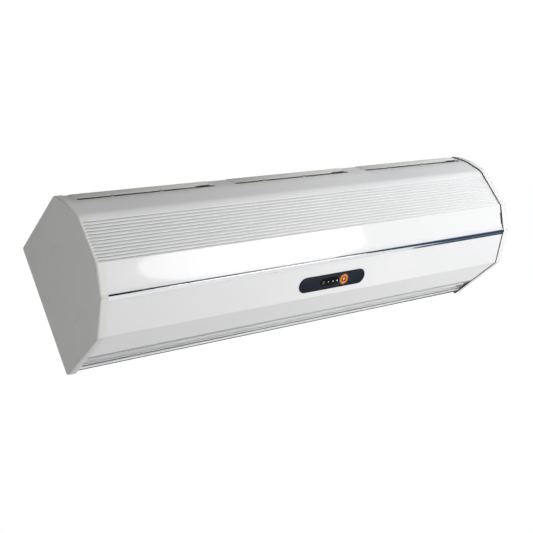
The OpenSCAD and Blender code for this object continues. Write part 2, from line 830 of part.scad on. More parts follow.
module motor_cradle() color("silver") difference() {
    union() {
        block(-ear_x - cradle_t / 2, ear_x + cradle_t / 2, fan_d - ear_r, fan_d + ear_r,
              shelf_top_h, shelf_top_h + cradle_t);
        both_ends() rod_x(fan_d, fan_h, ear_x - cradle_t / 2, ear_x + cradle_t / 2, ear_r);
        both_ends() block(ear_x - cradle_t / 2, ear_x + cradle_t / 2, fan_d - ear_r,
                          fan_d + ear_r, shelf_top_h, fan_h);
    }
    rod_x(fan_d, fan_h, -ear_x - cut - cradle_t, ear_x + cut + cradle_t, hub_r + rubber_t);
    for (p = cradle_screw_places)
        rod_z(p[0], p[1], shelf_top_h - cut, shelf_top_h + cradle_t + cut, cradle_screw_r);
}

// ---- Impellers and shaft ends ----

blade_lean = 32;
blade_bow = 1.6;
wheel_hub_r = shaft_r + 8;

// One curved blade: its root, middle and tip stations
function blade_side(offset) =
    [for (k = [0 : 2])
        let (r = fan_r - blade_chord + k * blade_chord / 2,
             across = (k - 1) * blade_chord / 2 * tan(blade_lean)
                      + (k == 1 ? blade_bow : 0) + offset)
        [across, r - (k == 2 ? 0.4 : 0)]];

module blade()
    polygon(concat(blade_side(-blade_t / 2),
                   [for (k = [2 : -1 : 0]) blade_side(blade_t / 2)[k]]));

module impeller() {
    chamber = (wheel_out_x - wheel_in_x - disc_t) / chamber_count;
    difference() {
        union() {
            along_x(wheel_in_x + disc_t / 2, wheel_out_x - disc_t / 2)
                translate([-fan_d, fan_h - mount_h])
                    for (k = [0 : blade_count - 1]) rotate(k * 360 / blade_count) blade();
            for (k = [1 : chamber_count - 1])
                tube_x(fan_d, fan_h, wheel_in_x + k * chamber,
                       wheel_in_x + k * chamber + disc_t, fan_r, fan_r - blade_chord - 1);
            rod_x(fan_d, fan_h, wheel_in_x, wheel_in_x + disc_t, fan_r);
            rod_x(fan_d, fan_h, wheel_out_x - disc_t, wheel_out_x, fan_r);
            rod_x(fan_d, fan_h, wheel_in_x, shaft_end_x, wheel_hub_r);
            rod_x(fan_d, fan_h, wheel_out_x - axle_grip, wheel_out_x, wheel_hub_r);
        }
        rod_x(fan_d, fan_h, wheel_in_x - cut, shaft_end_x + cut, shaft_r);
        rod_x(fan_d, fan_h, wheel_out_x - axle_grip - cut, wheel_out_x + cut, axle_r);
    }
}

module impeller_left() color("whitesmoke") mirror([1, 0, 0]) impeller();
module impeller_right() color("whitesmoke") impeller();

module end_axles() color("silver") both_ends()
    rod_x(fan_d, fan_h, wheel_out_x - axle_grip, axle_end_x, axle_r);

module shaft_bearings() color("silver") both_ends()
    tube_x(fan_d, fan_h, bearing_in_x, seat_end_x, bearing_r, axle_r + run_gap);

module bearing_rubbers() color("dimgrey") both_ends()
    tube_x(fan_d, fan_h, seam_x, seat_end_x, bearing_r + seat_t, bearing_r);

module bearing_holder() difference() {
    union() {
        rod_x(fan_d, fan_h, seam_x, seam_x + sheet_t, holder_screw_at + 4);
        rod_x(fan_d, fan_h, seam_x, seat_end_x + sheet_t, bearing_r + seat_t + sheet_t);
    }
    rod_x(fan_d, fan_h, seam_x - cut, seat_end_x, bearing_r + seat_t);
    rod_x(fan_d, fan_h, seam_x - cut, seat_end_x + sheet_t + cut, bearing_r - 1);
    for (p = holder_screw_places)
        rod_x(p.x, p.y, seam_x - cut, seam_x + sheet_t + cut, holder_screw_r);
}

module bearing_holder_left() color("silver") mirror([1, 0, 0]) bearing_holder();
module bearing_holder_right() color("silver") bearing_holder();

// ---- Control panel ----
// In the panel's own frame z = 0 is the lower cover's outer face and +z points outwards

panel_turn = atan2(edge_dir(1).y, edge_dir(1).x);
panel_at = corner_point(1) + edge_dir(1) * panel_s + inward(edge_dir(1)) * cap_step;
rim_z = -cover_t - 1.4;
board_z = -board_space;
plunger_r = 1.7;
plunger_gap = 0.1;
stem_r = 2.5;
switch_top_z = board_z + 3.5;
plunger_low_z = switch_top_z - 1;
plunger_high_z = plunger_low_z + 2.5;
button_back_z = rim_z - 2;
switch_w = 6;

module on_panel()
    translate([panel_x, -panel_at.x, panel_at.y - mount_h])
        rotate([180 - panel_turn, 0, 0]) children();

module obround(l, w, z0, z1) translate([0, 0, z0]) {
    translate([-(l - w) / 2, -w / 2, 0]) cube([l - w, w, z1 - z0]);
    for (x = [-1, 1] * (l - w) / 2) translate([x, 0, 0]) cylinder(h = z1 - z0, r = w / 2);
}

module pin_z(x, y, z0, z1, r) translate([x, y, z0]) cylinder(h = z1 - z0, r = r);

window_ledge = 1;
window_t = 1.6;
boss_x = board_l / 2 - 5;
panel_boss_r = 3;
pilot_r = 1.1;          // the board screws' shank and its pilot hole
board_hole_r = 1.3;
ring_proud = 0.6;       // how far the ring and the button stand out of the panel's face
button_proud = 0.4;

module control_bezel() color("darkslategrey") on_panel() difference() {
    union() {
        obround(panel_l, panel_w, seat, panel_proud);
        obround(panel_l - 2 * panel_edge - 2 * slip, panel_w - 2 * panel_edge - 2 * slip,
                rim_z, panel_proud);
        for (x = [-boss_x, boss_x]) pin_z(x, 0, board_z, rim_z + cut, panel_boss_r);
    }
    translate([window_x, 0, 0]) {
        obround(window_l, window_w, panel_proud - window_t, panel_proud + cut);
        obround(window_l - 2 * window_ledge, window_w - 2 * window_ledge,
                rim_z - cut, panel_proud + cut);
    }
    pin_z(button_x, 0, rim_z - cut, panel_proud + cut, ring_r);
    for (x = [-boss_x, boss_x]) pin_z(x, 0, board_z - cut, rim_z, pilot_r);
}

module display_window() color("black") on_panel() translate([window_x, 0, 0])
    obround(window_l, window_w, panel_proud - window_t, panel_proud);

module button_ring() color("orange") on_panel() difference() {
    pin_z(button_x, 0, rim_z, panel_proud + ring_proud, ring_r);
    pin_z(button_x, 0, rim_z - cut, panel_proud + 2 * cut, button_r + fit);
}

module power_button() color("darkorange") on_panel() union() {
    pin_z(button_x, 0, button_back_z, panel_proud + button_proud, button_r);
    pin_z(button_x, 0, plunger_high_z, button_back_z + cut, stem_r);
}

module switch_plunger() color("dimgrey") on_panel()
    pin_z(button_x, 0, plunger_low_z, plunger_high_z, plunger_r);

module button_switch() color("dimgrey") on_panel() difference() {
    translate([button_x - switch_w / 2, -switch_w / 2, board_z])
        cube([switch_w, switch_w, switch_top_z - board_z]);
    pin_z(button_x, 0, plunger_low_z - button_travel - 0.4, switch_top_z + cut,
          plunger_r + plunger_gap);
}

control_board_w = panel_w - 2 * panel_edge - 4;

module control_board() color("darkgreen") on_panel() difference() {
    translate([-board_l / 2, -control_board_w / 2, board_z - pcb_t])
        cube([board_l, control_board_w, pcb_t]);
    for (x = [-boss_x, boss_x])
        pin_z(x, 0, board_z - pcb_t - cut, board_z + cut, board_hole_r);
}

led_r = 1.5;
led_x = [window_x - 13, window_x - 4, window_x + 5];
sensor_x = window_x + 13;
sensor_w = 5;
lens_gap = 1;           // from the panel's back to the LEDs and the sensor

module indicator_leds() color("orange") on_panel()
    for (x = led_x) pin_z(x, 0, board_z, rim_z - lens_gap, led_r);

module remote_sensor() color("black") on_panel()
    translate([sensor_x - sensor_w / 2, -sensor_w / 2, board_z])
        cube([sensor_w, sensor_w, rim_z - lens_gap - board_z]);

// ---- Electrics bay, under the air tongue's shelf ----

tray_low_h = shelf_low_h - tray_t;
board_top_h = tray_low_h - post_l;
board_low_h = board_top_h - pcb_t;
main_x = tray_x + 10;
main_d = tray_d + 4;
main_w = tray_w - 8;
post_inset = 6;
post_r = 3.2;
tray_lip = 6;
post_places = [for (x = [main_x + post_inset, main_x + main_l - post_inset],
                    d = [main_d + post_inset, main_d + main_w - post_inset]) [x, d]];

module electrics_tray() color("whitesmoke") difference() {
    union() {
        block(tray_x, tray_x + tray_l, tray_d, tray_d + tray_w, tray_low_h, shelf_low_h);
        for (d = [tray_d, tray_d + tray_w - tray_t])
            block(tray_x, tray_x + tray_l, d, d + tray_t, tray_low_h - tray_lip, shelf_low_h);
        for (p = post_places) rod_z(p[0], p[1], board_top_h, tray_low_h + cut, post_r);
    }
    for (p = post_places) rod_z(p[0], p[1], board_top_h - cut, tray_low_h, pilot_r);
}

module main_board() color("darkgreen") difference() {
    block(main_x, main_x + main_l, main_d, main_d + main_w, board_low_h, board_top_h);
    for (p = post_places)
        rod_z(p[0], p[1], board_low_h - cut, board_top_h + cut, board_hole_r);
}

// Each part: x and depth from the board's corner, length, width, height
part_sizes = [[4, 20, 9, 28, 10], [20, 14, 30, 26, 22], [58, 14, 18, 14, 15],
              [58, 34, 18, 14, 15], [84, 18, 12, 12, 20], [104, 20, 10, 26, 9],
              [122, 22, 12, 20, 10]];

module board_components() color("darkslategrey")
    for (p = part_sizes)
        block(main_x + p[0], main_x + p[0] + p[2], main_d + p[1], main_d + p[1] + p[3],
              board_low_h - p[4], board_low_h);

// Boxes that hang from the tray: x, depth, length, width, height
cap_box = [main_x + main_l + 15, main_d + 4, 46, 20, 26];
terminal_box = [main_x + main_l + 80, main_d + 12, 36, 22, 18];
wire_pitch = 12;
wire_hole_r = 2.2;

module hung_box(b) block(b[0], b[0] + b[2], b[1], b[1] + b[3], tray_low_h - b[4], tray_low_h);

module run_capacitor() color("whitesmoke") hung_box(cap_box);

module terminal_block() color("ivory") difference() {
    hung_box(terminal_box);
    for (k = [0 : 2])
        rod_z(terminal_box[0] + wire_pitch * (k + 0.5), terminal_box[1] + terminal_box[3] / 2,
              tray_low_h - terminal_box[4] - cut, tray_low_h - 6, wire_hole_r);
}

// ---- Leads: round points chosen by hand, as x, depth and height ----

function place(p) = [p[0], -p[1], p[2] - mount_h];
function heading(path, i) =
    unit(path[min(i + 1, len(path) - 1)] - path[max(i - 1, 0)]);
function side_of(heading, last) = unit(last - (last * heading) * heading);
function sides(path, i) = i == 0
    ? [side_of(heading(path, 0), [0.3, 0.5, 0.8])]
    : let (before = sides(path, i - 1))
      concat(before, [side_of(heading(path, i), before[i - 1])]);

module lead(points, r, faces = 8) {
    path = [for (p = points) place(p)];
    n = len(path);
    across = sides(path, n - 1);
    rings = [for (i = [0 : n - 1], k = [0 : faces - 1])
        let (a = k * 360 / faces, t = heading(path, i))
        path[i] + r * (cos(a) * across[i] + sin(a) * cross(t, across[i]))];
    polyhedron(rings, concat(
        [[for (k = [0 : faces - 1]) k]],
        [for (i = [0 : n - 2], k = [0 : faces - 1])
            let (a = i * faces + k, b = i * faces + (k + 1) % faces)
            [a, a + faces, b + faces, b]],
        [[for (k = [faces - 1 : -1 : 0]) (n - 1) * faces + k]]), convexity = 6);
}

lead_end = 0.4;                     // a lead stops short of what it plugs into
run_h = board_low_h - 5.4;          // height at which the leads run under the board
motor_lead_d = main_d + 26;         // depths at which the leads meet the main board
control_lead_d = main_d + 42;
supply_lead_d = main_d + 30;
motor_side_d = fan_d + motor_r;

module motor_lead() color("dimgrey") lead([
    [lead_x, motor_side_d + lead_end, fan_h], [lead_x, motor_side_d + 4, fan_h],
    [lead_x, motor_side_d + 7, fan_h - 2], [lead_x, lead_d, fan_h - 7],
    [lead_x, lead_d, shelf_top_h + 37], [lead_x, lead_d, shelf_top_h + 22],
    [lead_x, lead_d, shelf_top_h + 8], [lead_x, lead_d, shelf_low_h - 5],
    [lead_x + 3, lead_d, run_h + 6], [lead_x + 11, lead_d - 2, run_h + 2],
    [0, lead_d - 5, run_h], [20, motor_lead_d + 29, run_h], [40, motor_lead_d + 20, run_h],
    [60, motor_lead_d + 12, run_h], [80, motor_lead_d + 5, run_h],
    [main_x - 24, motor_lead_d + 1, run_h], [main_x - 10, motor_lead_d, run_h],
    [main_x + 3.6, motor_lead_d, run_h + 0.4]], 2.5);

control_lead_x = 50;
control_lead_from = panel_at + inward(edge_dir(1)) * (board_space + pcb_t + lead_end);
control_lead_on = control_lead_from + inward(edge_dir(1)) * 3;

module control_lead() color("dimgrey") lead([
    [control_lead_x, control_lead_from.x, control_lead_from.y],
    [control_lead_x, control_lead_on.x, control_lead_on.y],
    [control_lead_x + 2, control_lead_on.x - 2.2, control_lead_on.y + 2.3],
    [58, control_lead_d + 16, run_h - 6], [66, control_lead_d + 11, run_h - 6],
    [76, control_lead_d + 6, run_h - 5], [main_x - 32, control_lead_d + 2, run_h - 3],
    [main_x - 20, control_lead_d, run_h - 1], [main_x - 10, control_lead_d, run_h],
    [main_x + 3.6, control_lead_d, run_h + 0.4]], 1.6);

terminal_x = terminal_box[0];
main_end_x = main_x + main_l;

module supply_lead() color("dimgrey") lead([
    [terminal_x - lead_end, supply_lead_d, run_h + 6],
    [terminal_x - 5, supply_lead_d + 0.4, run_h + 6],
    [terminal_x - 11, supply_lead_d + 2, run_h + 4], [terminal_x - 20, supply_lead_d + 4, run_h + 2],
    [main_end_x + 50, supply_lead_d + 4, run_h + 1], [main_end_x + 38, supply_lead_d + 4, run_h],
    [main_end_x + 26, supply_lead_d + 2, run_h], [main_end_x + 14, supply_lead_d, run_h],
    [main_end_x - 5.6, supply_lead_d, run_h + 0.4]], 2.5);

// ---- Fasteners: each is a round head on a face, with a shank that starts inside it ----

frame_head_r = 3.8;     // also the heads of the cover and cradle screws
frame_head_t = 2.2;
cover_head_t = 1;
cap_head_r = 3.2;
cap_head_t = 2;
holder_head_r = 2.8;
holder_head_t = 2;
board_head_r = 2.4;
board_head_t = 1.6;
in_head = 0.5;          // how far a shank reaches into its head
scroll_clear = 0.8;     // from a frame screw's tip to the fan scroll
cover_screw_l = 8;
board_screw_grip = 5;

module cap_screws() color("silver") both_ends() for (p = boss_places) {
    rod_x(p[0], p[1], side_in_x - cap_head_t, side_in_x, cap_head_r);
    rod_x(p[0], p[1], side_in_x - in_head, cap_inner_x - 2, cap_screw_r);
}

module frame_screws() color("silver") for (side = [-1, 1], h = frame_screw_h) {
    rod_y(side * frame_screw_x, h, back_recess - frame_head_t, back_recess, frame_head_r);
    rod_y(side * frame_screw_x, h, back_recess - in_head, scroll_back_d - scroll_clear,
          frame_screw_r);
}

module cover_screws() color("silver") for (x = cover_screw_x) {
    face_h = body_h - cap_step;
    rod_z(x, cover_screw_d, face_h, face_h + cover_head_t, frame_head_r);
    rod_z(x, cover_screw_d, top_inner_h - cover_screw_l, face_h + in_head, cover_screw_r);
}

module holder_screws() color("silver") both_ends() for (p = holder_screw_places) {
    face_x = seam_x + sheet_t;
    rod_x(p.x, p.y, face_x, face_x + holder_head_t, holder_head_r);
    rod_x(p.x, p.y, side_in_x - 1.5, face_x + in_head, holder_screw_r);
}

module cradle_screws() color("silver") for (p = cradle_screw_places) {
    face_h = shelf_top_h + cradle_t;
    rod_z(p[0], p[1], face_h, face_h + frame_head_t, frame_head_r);
    rod_z(p[0], p[1], shelf_low_h - 4, face_h + in_head, cradle_screw_r);
}

module board_screws() color("silver") {
    for (p = post_places) {
        rod_z(p[0], p[1], board_low_h - board_head_t, board_low_h, board_head_r);
        rod_z(p[0], p[1], board_low_h - in_head, board_top_h + board_screw_grip, pilot_r);
    }
    on_panel() for (x = [-boss_x, boss_x]) {
        back_z = board_z - pcb_t;
        pin_z(x, 0, back_z - board_head_t, back_z, board_head_r);
        pin_z(x, 0, back_z - in_head, board_z + board_screw_grip, pilot_r);
    }
}

wall_plate();
back_panel();
side_plate_left();
side_plate_right();
fan_scroll();
air_tongue();
upper_cover();
lower_cover();
trim_strip();
end_cap_left();
end_cap_right();
inlet_grille_left();
inlet_grille_centre();
inlet_grille_right();
outlet_front_rail();
outlet_rear_rail();
outlet_vane();
vane_pins();
vane_bushes();
motor_shell_left();
motor_shell_right();
motor_stator();
motor_windings();
motor_rotor();
motor_shaft();
motor_bearings();
motor_rubber_rings();
motor_cradle();
impeller_left();
impeller_right();
end_axles();
shaft_bearings();
bearing_rubbers();
bearing_holder_left();
bearing_holder_right();
control_bezel();
display_window();
button_ring();
power_button();
switch_plunger();
button_switch();
control_board();
indicator_leds();
remote_sensor();
electrics_tray();
main_board();
board_components();
run_capacitor();
terminal_block();
cable_grommet();
motor_lead();
control_lead();
supply_lead();
cap_screws();
frame_screws();
cover_screws();
holder_screws();
cradle_screws();
board_screws();
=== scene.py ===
"""Looks of the wall-mounted air curtain, dressed over its packed construction.

Sections are drawn as (depth from the wall, height above the bottom) and run along X.
All sizes are in metres.
"""
import json
import math

import bmesh
import bpy
from mathutils import Matrix, Vector


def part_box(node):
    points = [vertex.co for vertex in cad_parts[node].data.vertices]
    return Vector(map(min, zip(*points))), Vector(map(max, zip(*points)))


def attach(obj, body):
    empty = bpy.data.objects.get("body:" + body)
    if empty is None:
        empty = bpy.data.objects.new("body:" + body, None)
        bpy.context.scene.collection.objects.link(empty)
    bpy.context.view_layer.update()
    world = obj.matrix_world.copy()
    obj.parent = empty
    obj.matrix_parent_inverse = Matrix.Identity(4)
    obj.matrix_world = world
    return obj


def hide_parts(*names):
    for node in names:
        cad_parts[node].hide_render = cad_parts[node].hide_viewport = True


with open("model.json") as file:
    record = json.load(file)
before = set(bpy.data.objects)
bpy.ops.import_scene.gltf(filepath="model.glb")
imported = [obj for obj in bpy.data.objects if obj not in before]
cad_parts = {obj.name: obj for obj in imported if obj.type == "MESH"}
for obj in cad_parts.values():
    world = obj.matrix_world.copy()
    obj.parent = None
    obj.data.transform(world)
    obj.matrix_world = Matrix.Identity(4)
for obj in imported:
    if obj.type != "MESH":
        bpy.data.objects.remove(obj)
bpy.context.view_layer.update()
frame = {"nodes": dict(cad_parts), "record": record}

record = frame["record"]
BODY_OF = {node: body for body, nodes in record["behaviour"]["bodies"].items() for node in nodes}
SLOT_OF = {part["node"]: part["material_slot"] for part in record["subparts"]}

MM = 0.001
MICRON = 0.001 * MM
QUARTER = math.pi / 2

# ---- Sizes of the casing ----

MOUNT_H = 170 * MM              # height of the wall bolts' centre above the bottom
SEAM_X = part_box("upper_cover")[1].x
UPPER_END_X = SEAM_X - 5 * MM   # a shadow gap is left at the right end cap
LOWER_END_X = SEAM_X - 1.9 * MM
HALF_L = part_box("end_cap_right")[1].x
SIDE_IN_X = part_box("outlet_front_rail")[1].x
BODY_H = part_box("end_cap_right")[1].z + MOUNT_H
BODY_D = -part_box("end_cap_right")[0].y
COVER_STEP = 1 * MM             # the covers lie this far inside the end caps
COVER_T = 1.6 * MM
COVER_IN = COVER_STEP + COVER_T
CHIN_H = 87 * MM
BROW_H = BODY_H - 65 * MM
BROW_LEAN = 3.5 * MM
KNEE = (189.5 * MM, BODY_H - 27 * MM)
TOP_D = 164 * MM
BELT = (190.7 * MM, 41.7 * MM)
BOTTOM_D = 137 * MM
TOP_INNER_H = BODY_H - COVER_IN
TRIM_TOP_H = BELT[1] + 6.1 * MM
TRIM_LOW_D = BELT[0] - 6.4 * MM
FIT = 0.3 * MM
SLIP = 0.2 * MM
NEAR = 0.1 * MM                 # how close a face lies to a place that it is picked by
MERGE = 0.004 * MM

# The outline's corners, anticlockwise from the bottom rear: depth, height, radius
CORNERS = [
    (0, 0, 4 * MM), (BOTTOM_D, 0, 3 * MM), (*BELT, 2 * MM), (BODY_D, CHIN_H, 3 * MM),
    (BODY_D - BROW_LEAN, BROW_H, 28 * MM), (*KNEE, 90 * MM), (TOP_D, BODY_H, 6 * MM),
    (0, BODY_H, 3 * MM)]
AT_BOTTOM, AT_BELT, AT_CHIN, AT_BROW = range(1, 5)
AT_TOP, AT_REAR = 6, 7
FACET_LOW, FACET_HIGH, FRONT, BROW, SLOPE = range(1, 6)   # edges, by their first corner
LEAST_FILLET = 0.4 * MM
WIDE_FILLET = 10 * MM

RIB_PITCH = 5.65 * MM
RIB_TOP_GAP = 11.9 * MM
RIB_BOTTOM_GAP = 3 * MM
RIB_DEEP = 1.05 * MM            # from a rib's crest to the groove beside it
RIB_STEPS = 5                   # facets from a groove to a crest
ROOT_SHARE = 0.65               # deeper than this share of a groove is its root
GROOVE_SHADE_PALE_X = 380 * MM              # the painted shade in the grooves is palest from here to the right end

BEAD_R = 3.2 * MM
BEAD_IN = 1.9 * MM
BEAD_STEPS = 14

FAN_AXIS = (93 * MM, 115 * MM)


# ---- Plane geometry of the outline ----

def edge_dir(i):
    a, b = CORNERS[i % 8], CORNERS[(i + 1) % 8]
    return Vector((b[0] - a[0], b[1] - a[1])).normalized()


def inward(i):
    u = edge_dir(i)
    return Vector((-u.y, u.x))


def inset_corner(i, insets):
    """Corner i with each edge moved inwards by its own inset."""
    before, here = (i - 1) % 8, i % 8
    corner = Vector(CORNERS[here][:2])
    u, w = edge_dir(before), edge_dir(here)
    p = corner + inward(before) * insets[before]
    q = corner + inward(here) * insets[here]
    along = (q - p).x * w.y - (q - p).y * w.x
    return p + u * along / (u.x * w.y - u.y * w.x)


def on_edge(i, inset, h=None, d=None):
    """The point of edge i at a height or a depth, with the edge moved inwards."""
    p = Vector(CORNERS[i][:2]) + inward(i) * inset
    u = edge_dir(i)
    along = (h - p.y) / u.y if h is not None else (d - p.x) / u.x
    return p + u * along


def arc(centre, radius, start, sweep, steps):
    turns = [start + sweep * k / steps for k in range(steps + 1)]
    return [Vector((centre[0] + radius * math.cos(a), centre[1] + radius * math.sin(a)))
            for a in turns]


def fillet(i, insets):
    """The arc that rounds corner i."""
    b = inset_corner(i, insets)
    u = (inset_corner(i - 1, insets) - b).normalized()
    w = (inset_corner(i + 1, insets) - b).normalized()
    half = math.acos(max(-1, min(1, u.dot(w)))) / 2
    r = max(CORNERS[i % 8][2] - insets[i % 8], LEAST_FILLET)
    centre = b + (u + w).normalized() * r / math.sin(half)
    start = b + u * r / math.tan(half) - centre
    steps = 12 if CORNERS[i % 8][2] > WIDE_FILLET else 6
    return arc(centre, r, math.atan2(start.y, start.x), math.pi - 2 * half, steps)


def bead_arc(centre, gap, radius):
    """The round bead at the belt corner, from where it leaves one edge to the other."""
    ends = []
    for i, way in ((FACET_LOW, -1), (FACET_HIGH, 1)):
        out = -inward(i)
        ends.append(math.atan2(out.y, out.x) + way * math.acos(min(1, gap / radius)))
    return arc(centre, radius, ends[0], ends[1] - ends[0], BEAD_STEPS)


BELT_BISECTOR = (inward(FACET_LOW) + inward(FACET_HIGH)).normalized()
BEAD_AT = Vector(BELT) + BELT_BISECTOR * BEAD_IN
BEAD_GAP = BEAD_IN * BELT_BISECTOR.dot(inward(FACET_LOW))


def belt_bead(insets, bead):
    """The belt corner of an end cap: a full bead at 1, a plain fillet at 0."""
    centre = inset_corner(AT_BELT, insets) + BELT_BISECTOR * BEAD_IN
    return bead_arc(centre, BEAD_GAP, BEAD_GAP + (BEAD_R - BEAD_GAP) * bead)


def groove_heights():
    count = int((BROW_H - RIB_TOP_GAP - CHIN_H - RIB_BOTTOM_GAP) / RIB_PITCH) + 1
    return [BROW_H - RIB_TOP_GAP - i * RIB_PITCH for i in range(count)][::-1]


def rib_flank():
    """Half a round rib, from the groove to the crest: height gained and depth left."""
    half = RIB_PITCH / 2
    lean = 2 * math.atan(RIB_DEEP / half)
    radius = half / math.sin(lean)
    turns = [lean * (1 - k / RIB_STEPS) for k in range(RIB_STEPS + 1)]
    return [(half - radius * math.sin(a), radius * (1 - math.cos(a))) for a in turns]


def ribbed_edge(insets, base, low, high):
    """The front edge with its round ribs, cut from the surface that lies at the base inset."""
    points = []
    for groove in groove_heights():
        below = [(-up, deep) for up, deep in rib_flank()[::-1]]
        for up, deep in below + rib_flank()[1:]:
            h = groove + up
            inset = insets[FRONT] if not low <= h <= high else max(insets[FRONT], base + deep)
            points.append(on_edge(FRONT, inset, h=min(max(h, low), high)))
    return points


def chain(insets, first, last, base=None, bead=None):
    """The outline's corners first to last; with a base it has the front's ribs."""
    ring = []
    for i in range(first, last + 1):
        beaded = i == AT_BELT and bead is not None
        ring += belt_bead(insets, bead) if beaded else fillet(i, insets)
        if i == AT_CHIN and base is not None:
            ring += ribbed_edge(insets, base, ring[-1].y, fillet(AT_BROW, insets)[0].y)
    return ring


def even(inset):
    return [inset] * 8


# ---- Modelling by hand, in code ----

def at(x, d, h):
    return Vector((x, -d, h - MOUNT_H))


def clear_selection():
    if bpy.context.mode != "OBJECT":
        bpy.ops.object.mode_set(mode="OBJECT")
    bpy.ops.object.select_all(action="DESELECT")


def pick(piece):
    clear_selection()
    piece.select_set(True)
    bpy.context.view_layer.objects.active = piece


def edit(piece):
    pick(piece)
    bpy.ops.object.mode_set(mode="EDIT")


def done():
    bpy.ops.object.mode_set(mode="OBJECT")


def added(name):
    piece = bpy.context.object
    piece.name = name
    piece.data.name = name
    return piece


def choose(piece, test, kind="FACE"):
    """In edit mode, selects the faces, edges or vertices that pass the test."""
    bpy.ops.mesh.select_all(action="DESELECT")
    bpy.ops.mesh.select_mode(type=kind)
    mesh = bmesh.from_edit_mesh(piece.data)
    for part in {"FACE": mesh.faces, "EDGE": mesh.edges, "VERT": mesh.verts}[kind]:
        part.select_set(test(part))
    mesh.select_flush_mode()
    bmesh.update_edit_mesh(piece.data)


def choose_all_faces():
    bpy.ops.mesh.select_mode(type="FACE")
    bpy.ops.mesh.select_all(action="SELECT")


def close_up():
    """Joins doubled vertices, turns the faces outwards and leaves edit mode."""
    bpy.ops.mesh.select_all(action="SELECT")
    bpy.ops.mesh.remove_doubles(threshold=MERGE)
    bpy.ops.mesh.normals_make_consistent(inside=False)
    done()


def modify(piece, kind, **settings):
    pick(piece)
    modifier = piece.modifiers.new(kind.lower(), kind)
    for key, value in settings.items():
        setattr(modifier, key, value)
    bpy.ops.object.modifier_apply(modifier=modifier.name)


def soften(piece, width, angle=40, segments=2):
    modify(piece, "BEVEL", width=width, segments=segments, limit_method="ANGLE",
           angle_limit=math.radians(angle), use_clamp_overlap=True, miter_outer="MITER_ARC")


def smooth(piece, angle=35):
    pick(piece)
    bpy.ops.object.shade_smooth_by_angle(angle=math.radians(angle))
    return piece


def cut_out(piece, *cutters):
    for cutter in cutters:
        modify(piece, "BOOLEAN", operation="DIFFERENCE", object=cutter, solver="EXACT")
        bpy.data.objects.remove(cutter)
    edit(piece)
    close_up()


def join(pieces, name):
    clear_selection()
    for piece in pieces:
        piece.select_set(True)
    bpy.context.view_layer.objects.active = pieces[0]
    if len(pieces) > 1:
        bpy.ops.object.join()
    return added(name)


def settle(piece, place=None):
    """Puts a piece modelled about the origin in its place, in its mesh."""
    pick(piece)
    if place is not None:
        piece.matrix_world = place
    bpy.ops.object.transform_apply(location=True, rotation=True, scale=True)
    return piece


def copy_of(piece, name):
    twin = bpy.data.objects.new(name, piece.data.copy())
    bpy.context.scene.collection.objects.link(twin)
    return twin


def mirrored(piece, name):
    """The other end's piece, with its faces turned outwards again."""
    twin = settle(copy_of(piece, name), Matrix.Scale(-1, 4, (1, 0, 0)))
    edit(twin)
    close_up()
    return twin


def new_ring(name, ring, x):
    """A filled ring: a circle whose vertices are laid on the section."""
    clear_selection()
    bpy.ops.mesh.primitive_circle_add(vertices=len(ring), radius=BEAD_R, fill_type="NGON")
    piece = added(name)
    order = piece.data.attributes.new("order", "INT", "POINT")
    for i, vertex in enumerate(piece.data.vertices):
        order.data[i].value = i
        vertex.co = at(x, *ring[i])
    return piece


def extrude_on(piece, ring, x):
    """Extrudes the chosen end face and lays it on the next ring."""
    bpy.ops.mesh.extrude_region_move(TRANSFORM_OT_translate={"value": (0, 0, 0)})
    mesh = bmesh.from_edit_mesh(piece.data)
    order = mesh.verts.layers.int["order"]
    for vertex in mesh.verts:
        if vertex.select:
            vertex.co = at(x, *ring[vertex[order]])
    bmesh.update_edit_mesh(piece.data)


def loft(name, stations):
    """A closed piece through rings of as many points each, as (x, ring)."""
    piece = new_ring(name, stations[0][1], stations[0][0])
    edit(piece)
    choose_all_faces()
    for x, ring in stations[1:]:
        extrude_on(piece, ring, x)
    close_up()
    piece.data.attributes.remove(piece.data.attributes["order"])
    return piece


def prism(name, ring, x0, x1):
    return loft(name, [(x0, ring), (x1, ring)])


def block(name, x0, x1, d0, d1, h0, h1):
    return prism(name, [(d0, h0), (d1, h0), (d1, h1), (d0, h1)], x0, x1)


def obround(name, length, width, z0, z1, steps=24):
    """An obround plate in the panel's own frame: a disc drawn apart at its middle."""
    clear_selection()
    bpy.ops.mesh.primitive_circle_add(vertices=2 * steps, radius=width / 2, fill_type="NGON",
                                      location=(0, 0, z0))
    piece = added(name)
    half = (length - width) / 2
    edit(piece)
    choose(piece, lambda vertex: vertex.co.x > 0, "VERT")
    bpy.ops.transform.translate(value=(half, 0, 0))
    bpy.ops.mesh.select_all(action="INVERT")
    bpy.ops.transform.translate(value=(-half, 0, 0))
    choose_all_faces()
    bpy.ops.mesh.extrude_region_move(TRANSFORM_OT_translate={"value": (0, 0, z1 - z0)})
    close_up()
    return settle(piece)


def disc(name, radius, z0, z1, vertices):
    """A plain round blank along z, to be shaped or to cut with."""
    clear_selection()
    bpy.ops.mesh.primitive_cylinder_add(vertices=vertices, radius=radius, depth=z1 - z0,
                                        location=(0, 0, (z0 + z1) / 2))
    return settle(added(name))


def lying(place):
    """The turn that lays a piece modelled along z along X, at a depth and height."""
    return Matrix.Translation(at(0, *place)) @ Matrix.Rotation(QUARTER, 4, "Y")


def rod(name, place, x0, x1, radius, vertices=48):
    return settle(disc(name, radius, x0, x1, vertices), lying(place))


